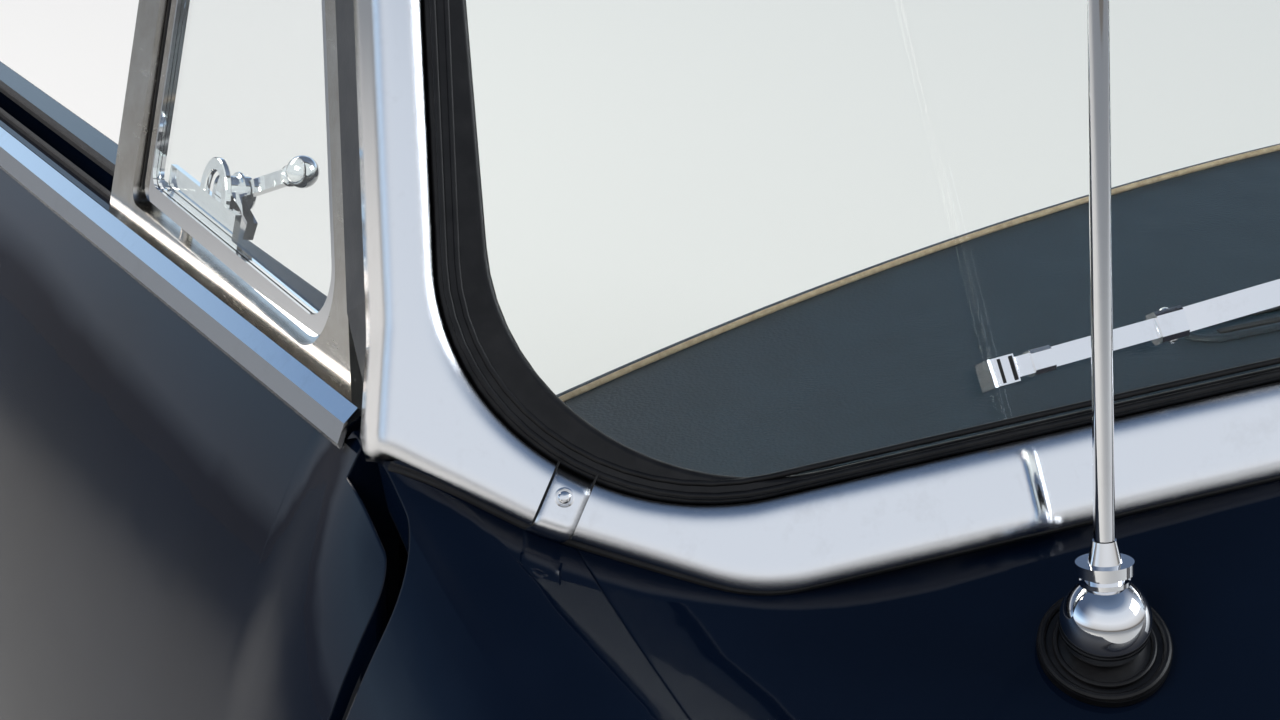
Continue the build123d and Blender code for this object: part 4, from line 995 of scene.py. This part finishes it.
def door_details():
    """Seals, felts, card trim, winder, lever and fixings on each door."""
    for side, tag in SIDES.items():
        body = "door_" + tag
        inward = Vector((-side, 0, 0))

        def spot(x, y, z):
            return at(side * x, y, z)

        def on_card(y, z, lift=0.0):
            return spot(CARD_FACE, y, z) + inward * lift

        def knob(name, place, outline, finish="bright_metal"):
            turned(name % tag, place, inward, outline, finish, body)

        def bar(name, place, way, size):
            slab(name % tag, place, way, inward, size, "bright_metal", body)

        for number, z in enumerate(CARD_PIPING):
            path = [(on_card(y, z), inward) for y in range(80, 861, 20)]
            sweep("card_piping_%s_%d" % (tag, number + 1), path, circle(1.7, 8), "piping", body)
        for y in range(110, 850, 26):
            heights = FLUTE_OVER_POCKET if 420 < y < 710 else FLUTE
            path = [(spot(CARD_FACE + 0.6, y, z), inward) for z in heights]
            sweep("card_flute_%s_%d" % (tag, y), path, circle(2.2, 8), "door_card", body)
        way = Vector((0, -0.35, -0.94)).normalized()
        knob("winder_%s_rose", on_card(330, 355), [(21, 0), (21, 2), (16, 5), (9, 6)])
        knob("winder_%s_shaft", on_card(330, 355, 0.004), [(7, 0), (7, 11), (5, 14)])
        bar("winder_%s_crank", on_card(330, 355, 0.0145) + way * 0.040, way, (88, 11, 4.5))
        knob("winder_%s_knob", on_card(330, 355, 0.0165) + way * 0.080,
             [(4, 0), (8.5, 3), (9.5, 12), (8.0, 18), (4.0, 20.5)], "ivory")
        way = Vector((0, 1, -0.12)).normalized()
        knob("lever_%s_rose", on_card(250, 500), [(17, 0), (17, 2), (12, 4.5), (7, 5.5)])
        bar("lever_%s_bar", on_card(250, 500, 0.0115) + way * 0.036, way, (92, 12, 5))
        slab("lever_%s_neck" % tag, on_card(250, 500, 0.006), inward, way, (14, 10, 10),
             "bright_metal", body)
        spots = [(on_card(y, z), inward) for z in (60, 528) for y in range(90, 861, 110)]
        fixings("card_screws_" + tag, SCREW, spots, 4.0, 1.2, "bright_metal", body)
        for label, x, width in FELTS:
            path = [(spot(x, y, BELT_Z - BELT_FALL * y + 0.9), UP) for y in range(366, 846, 20)]
            sweep("window_felt_%s_%s" % (label, tag), path, rectangle(width, 4.0), "felt", body)
        path = [(spot(x, DOOR_REAR - 1.4, z), AFT) for x, z in REAR_SEAL]
        sweep("door_rear_seal_" + tag, path, circle(3.0, 10, 0.7), "seal_rubber", body)
        x, z = LOCK
        slab("lock_case_" + tag, spot(x, DOOR_REAR - 1.0, z), UP, AFT, (92, 46, 3.0),
             "plain_steel", body)
        slab("lock_bolt_" + tag, spot(x, DOOR_REAR, z + 8), UP, AFT, (30, 14, 2.0),
             "plain_steel", body)
        spots = [(spot(x + dx, DOOR_REAR, z + dz), AFT) for dz in (-38, 38) for dx in (-16, 16)]
        fixings("lock_screws_" + tag, SCREW, spots, 2.6, 0.4, "plain_steel", body)
        path = [(vent_point(side, 322.2, w), AHEAD) for w in range(14, 311, 12)]
        sweep("vent_rear_gasket_" + tag, path, rectangle(9.0, 3.0), "seal_rubber", body)
        for name, height, profile, finish in (
            ("glass_channel_%s", 0.0, rectangle(9.0, 2.0), "felt"),
            ("glass_channel_lip_%s_1", -4.4, circle(1.6, 8), "seal_rubber"),
            ("glass_channel_lip_%s_2", 4.4, circle(1.6, 8), "seal_rubber"),
        ):
            path = [(vent_point(side, CHANNEL_Y, w, height), AFT) for w in range(-4, 329, 12)]
            sweep(name % tag, path, profile, finish, body)


def frame_details():
    """Fixings of the posts' feet, hinges and bulkhead, and the bulkhead's plugged grommets."""
    feet = [(at(side * 685, -109 + step, 8.6), UP) for side in SIDES for step in (-25, 25)]
    hinges = [(at(side * 639.5, -62.6, z + step), AFT)
              for side in SIDES for z in (190, 360) for step in (-8.5, 8.5)]
    ledge = [(at(x, -99.0, 8.3), UP) for x in range(-540, 541, 120)]
    edges = [(at(x, -125.3, z), AHEAD) for x in (-560, 560) for z in range(60, 521, 92)]
    for name, tree, spots, radius, height in (
        ("foot_bolts", BOLT, feet, 9.0, 2.4),
        ("hinge_bolts", BOLT, hinges, 3.6, 1.0),
        ("bulkhead_bolts", BOLT, ledge, 5.0, 1.6),
        ("bulkhead_screws", SCREW, edges, 5.0, 1.4),
    ):
        fixings(name, tree, spots, radius, height, "plain_steel")
    for number, (x, z, radius) in enumerate(GROMMETS):
        place = at(x, -125.0, z)
        ring("grommet_%d" % (number + 1), place + AHEAD * MM, AHEAD, radius, 3.2, "seal_rubber")
        turned("grommet_plug_%d" % (number + 1), place, AHEAD,
               [(radius, 0), (radius, 1.6), (radius - 4, 2.6), (2, 3.2)], "seal_rubber")


scene.view_settings.view_transform = "Standard"
SCREW = fixing_tree("slotted_screws", True)
BOLT = fixing_tree("hexagon_bolts", False)
add_camera()
add_world()
add_lamps()
add_floor()
finishes = {slot: finished(**look) for slot, look in LOOKS.items()}
dress_nodes()
seal_details()
body_gasket()
clip_details()
dash_details()
dash_face()
wiper_details()
aerial_details()
latch_details()
door_details()
frame_details()

bpy.context.view_layer.update()
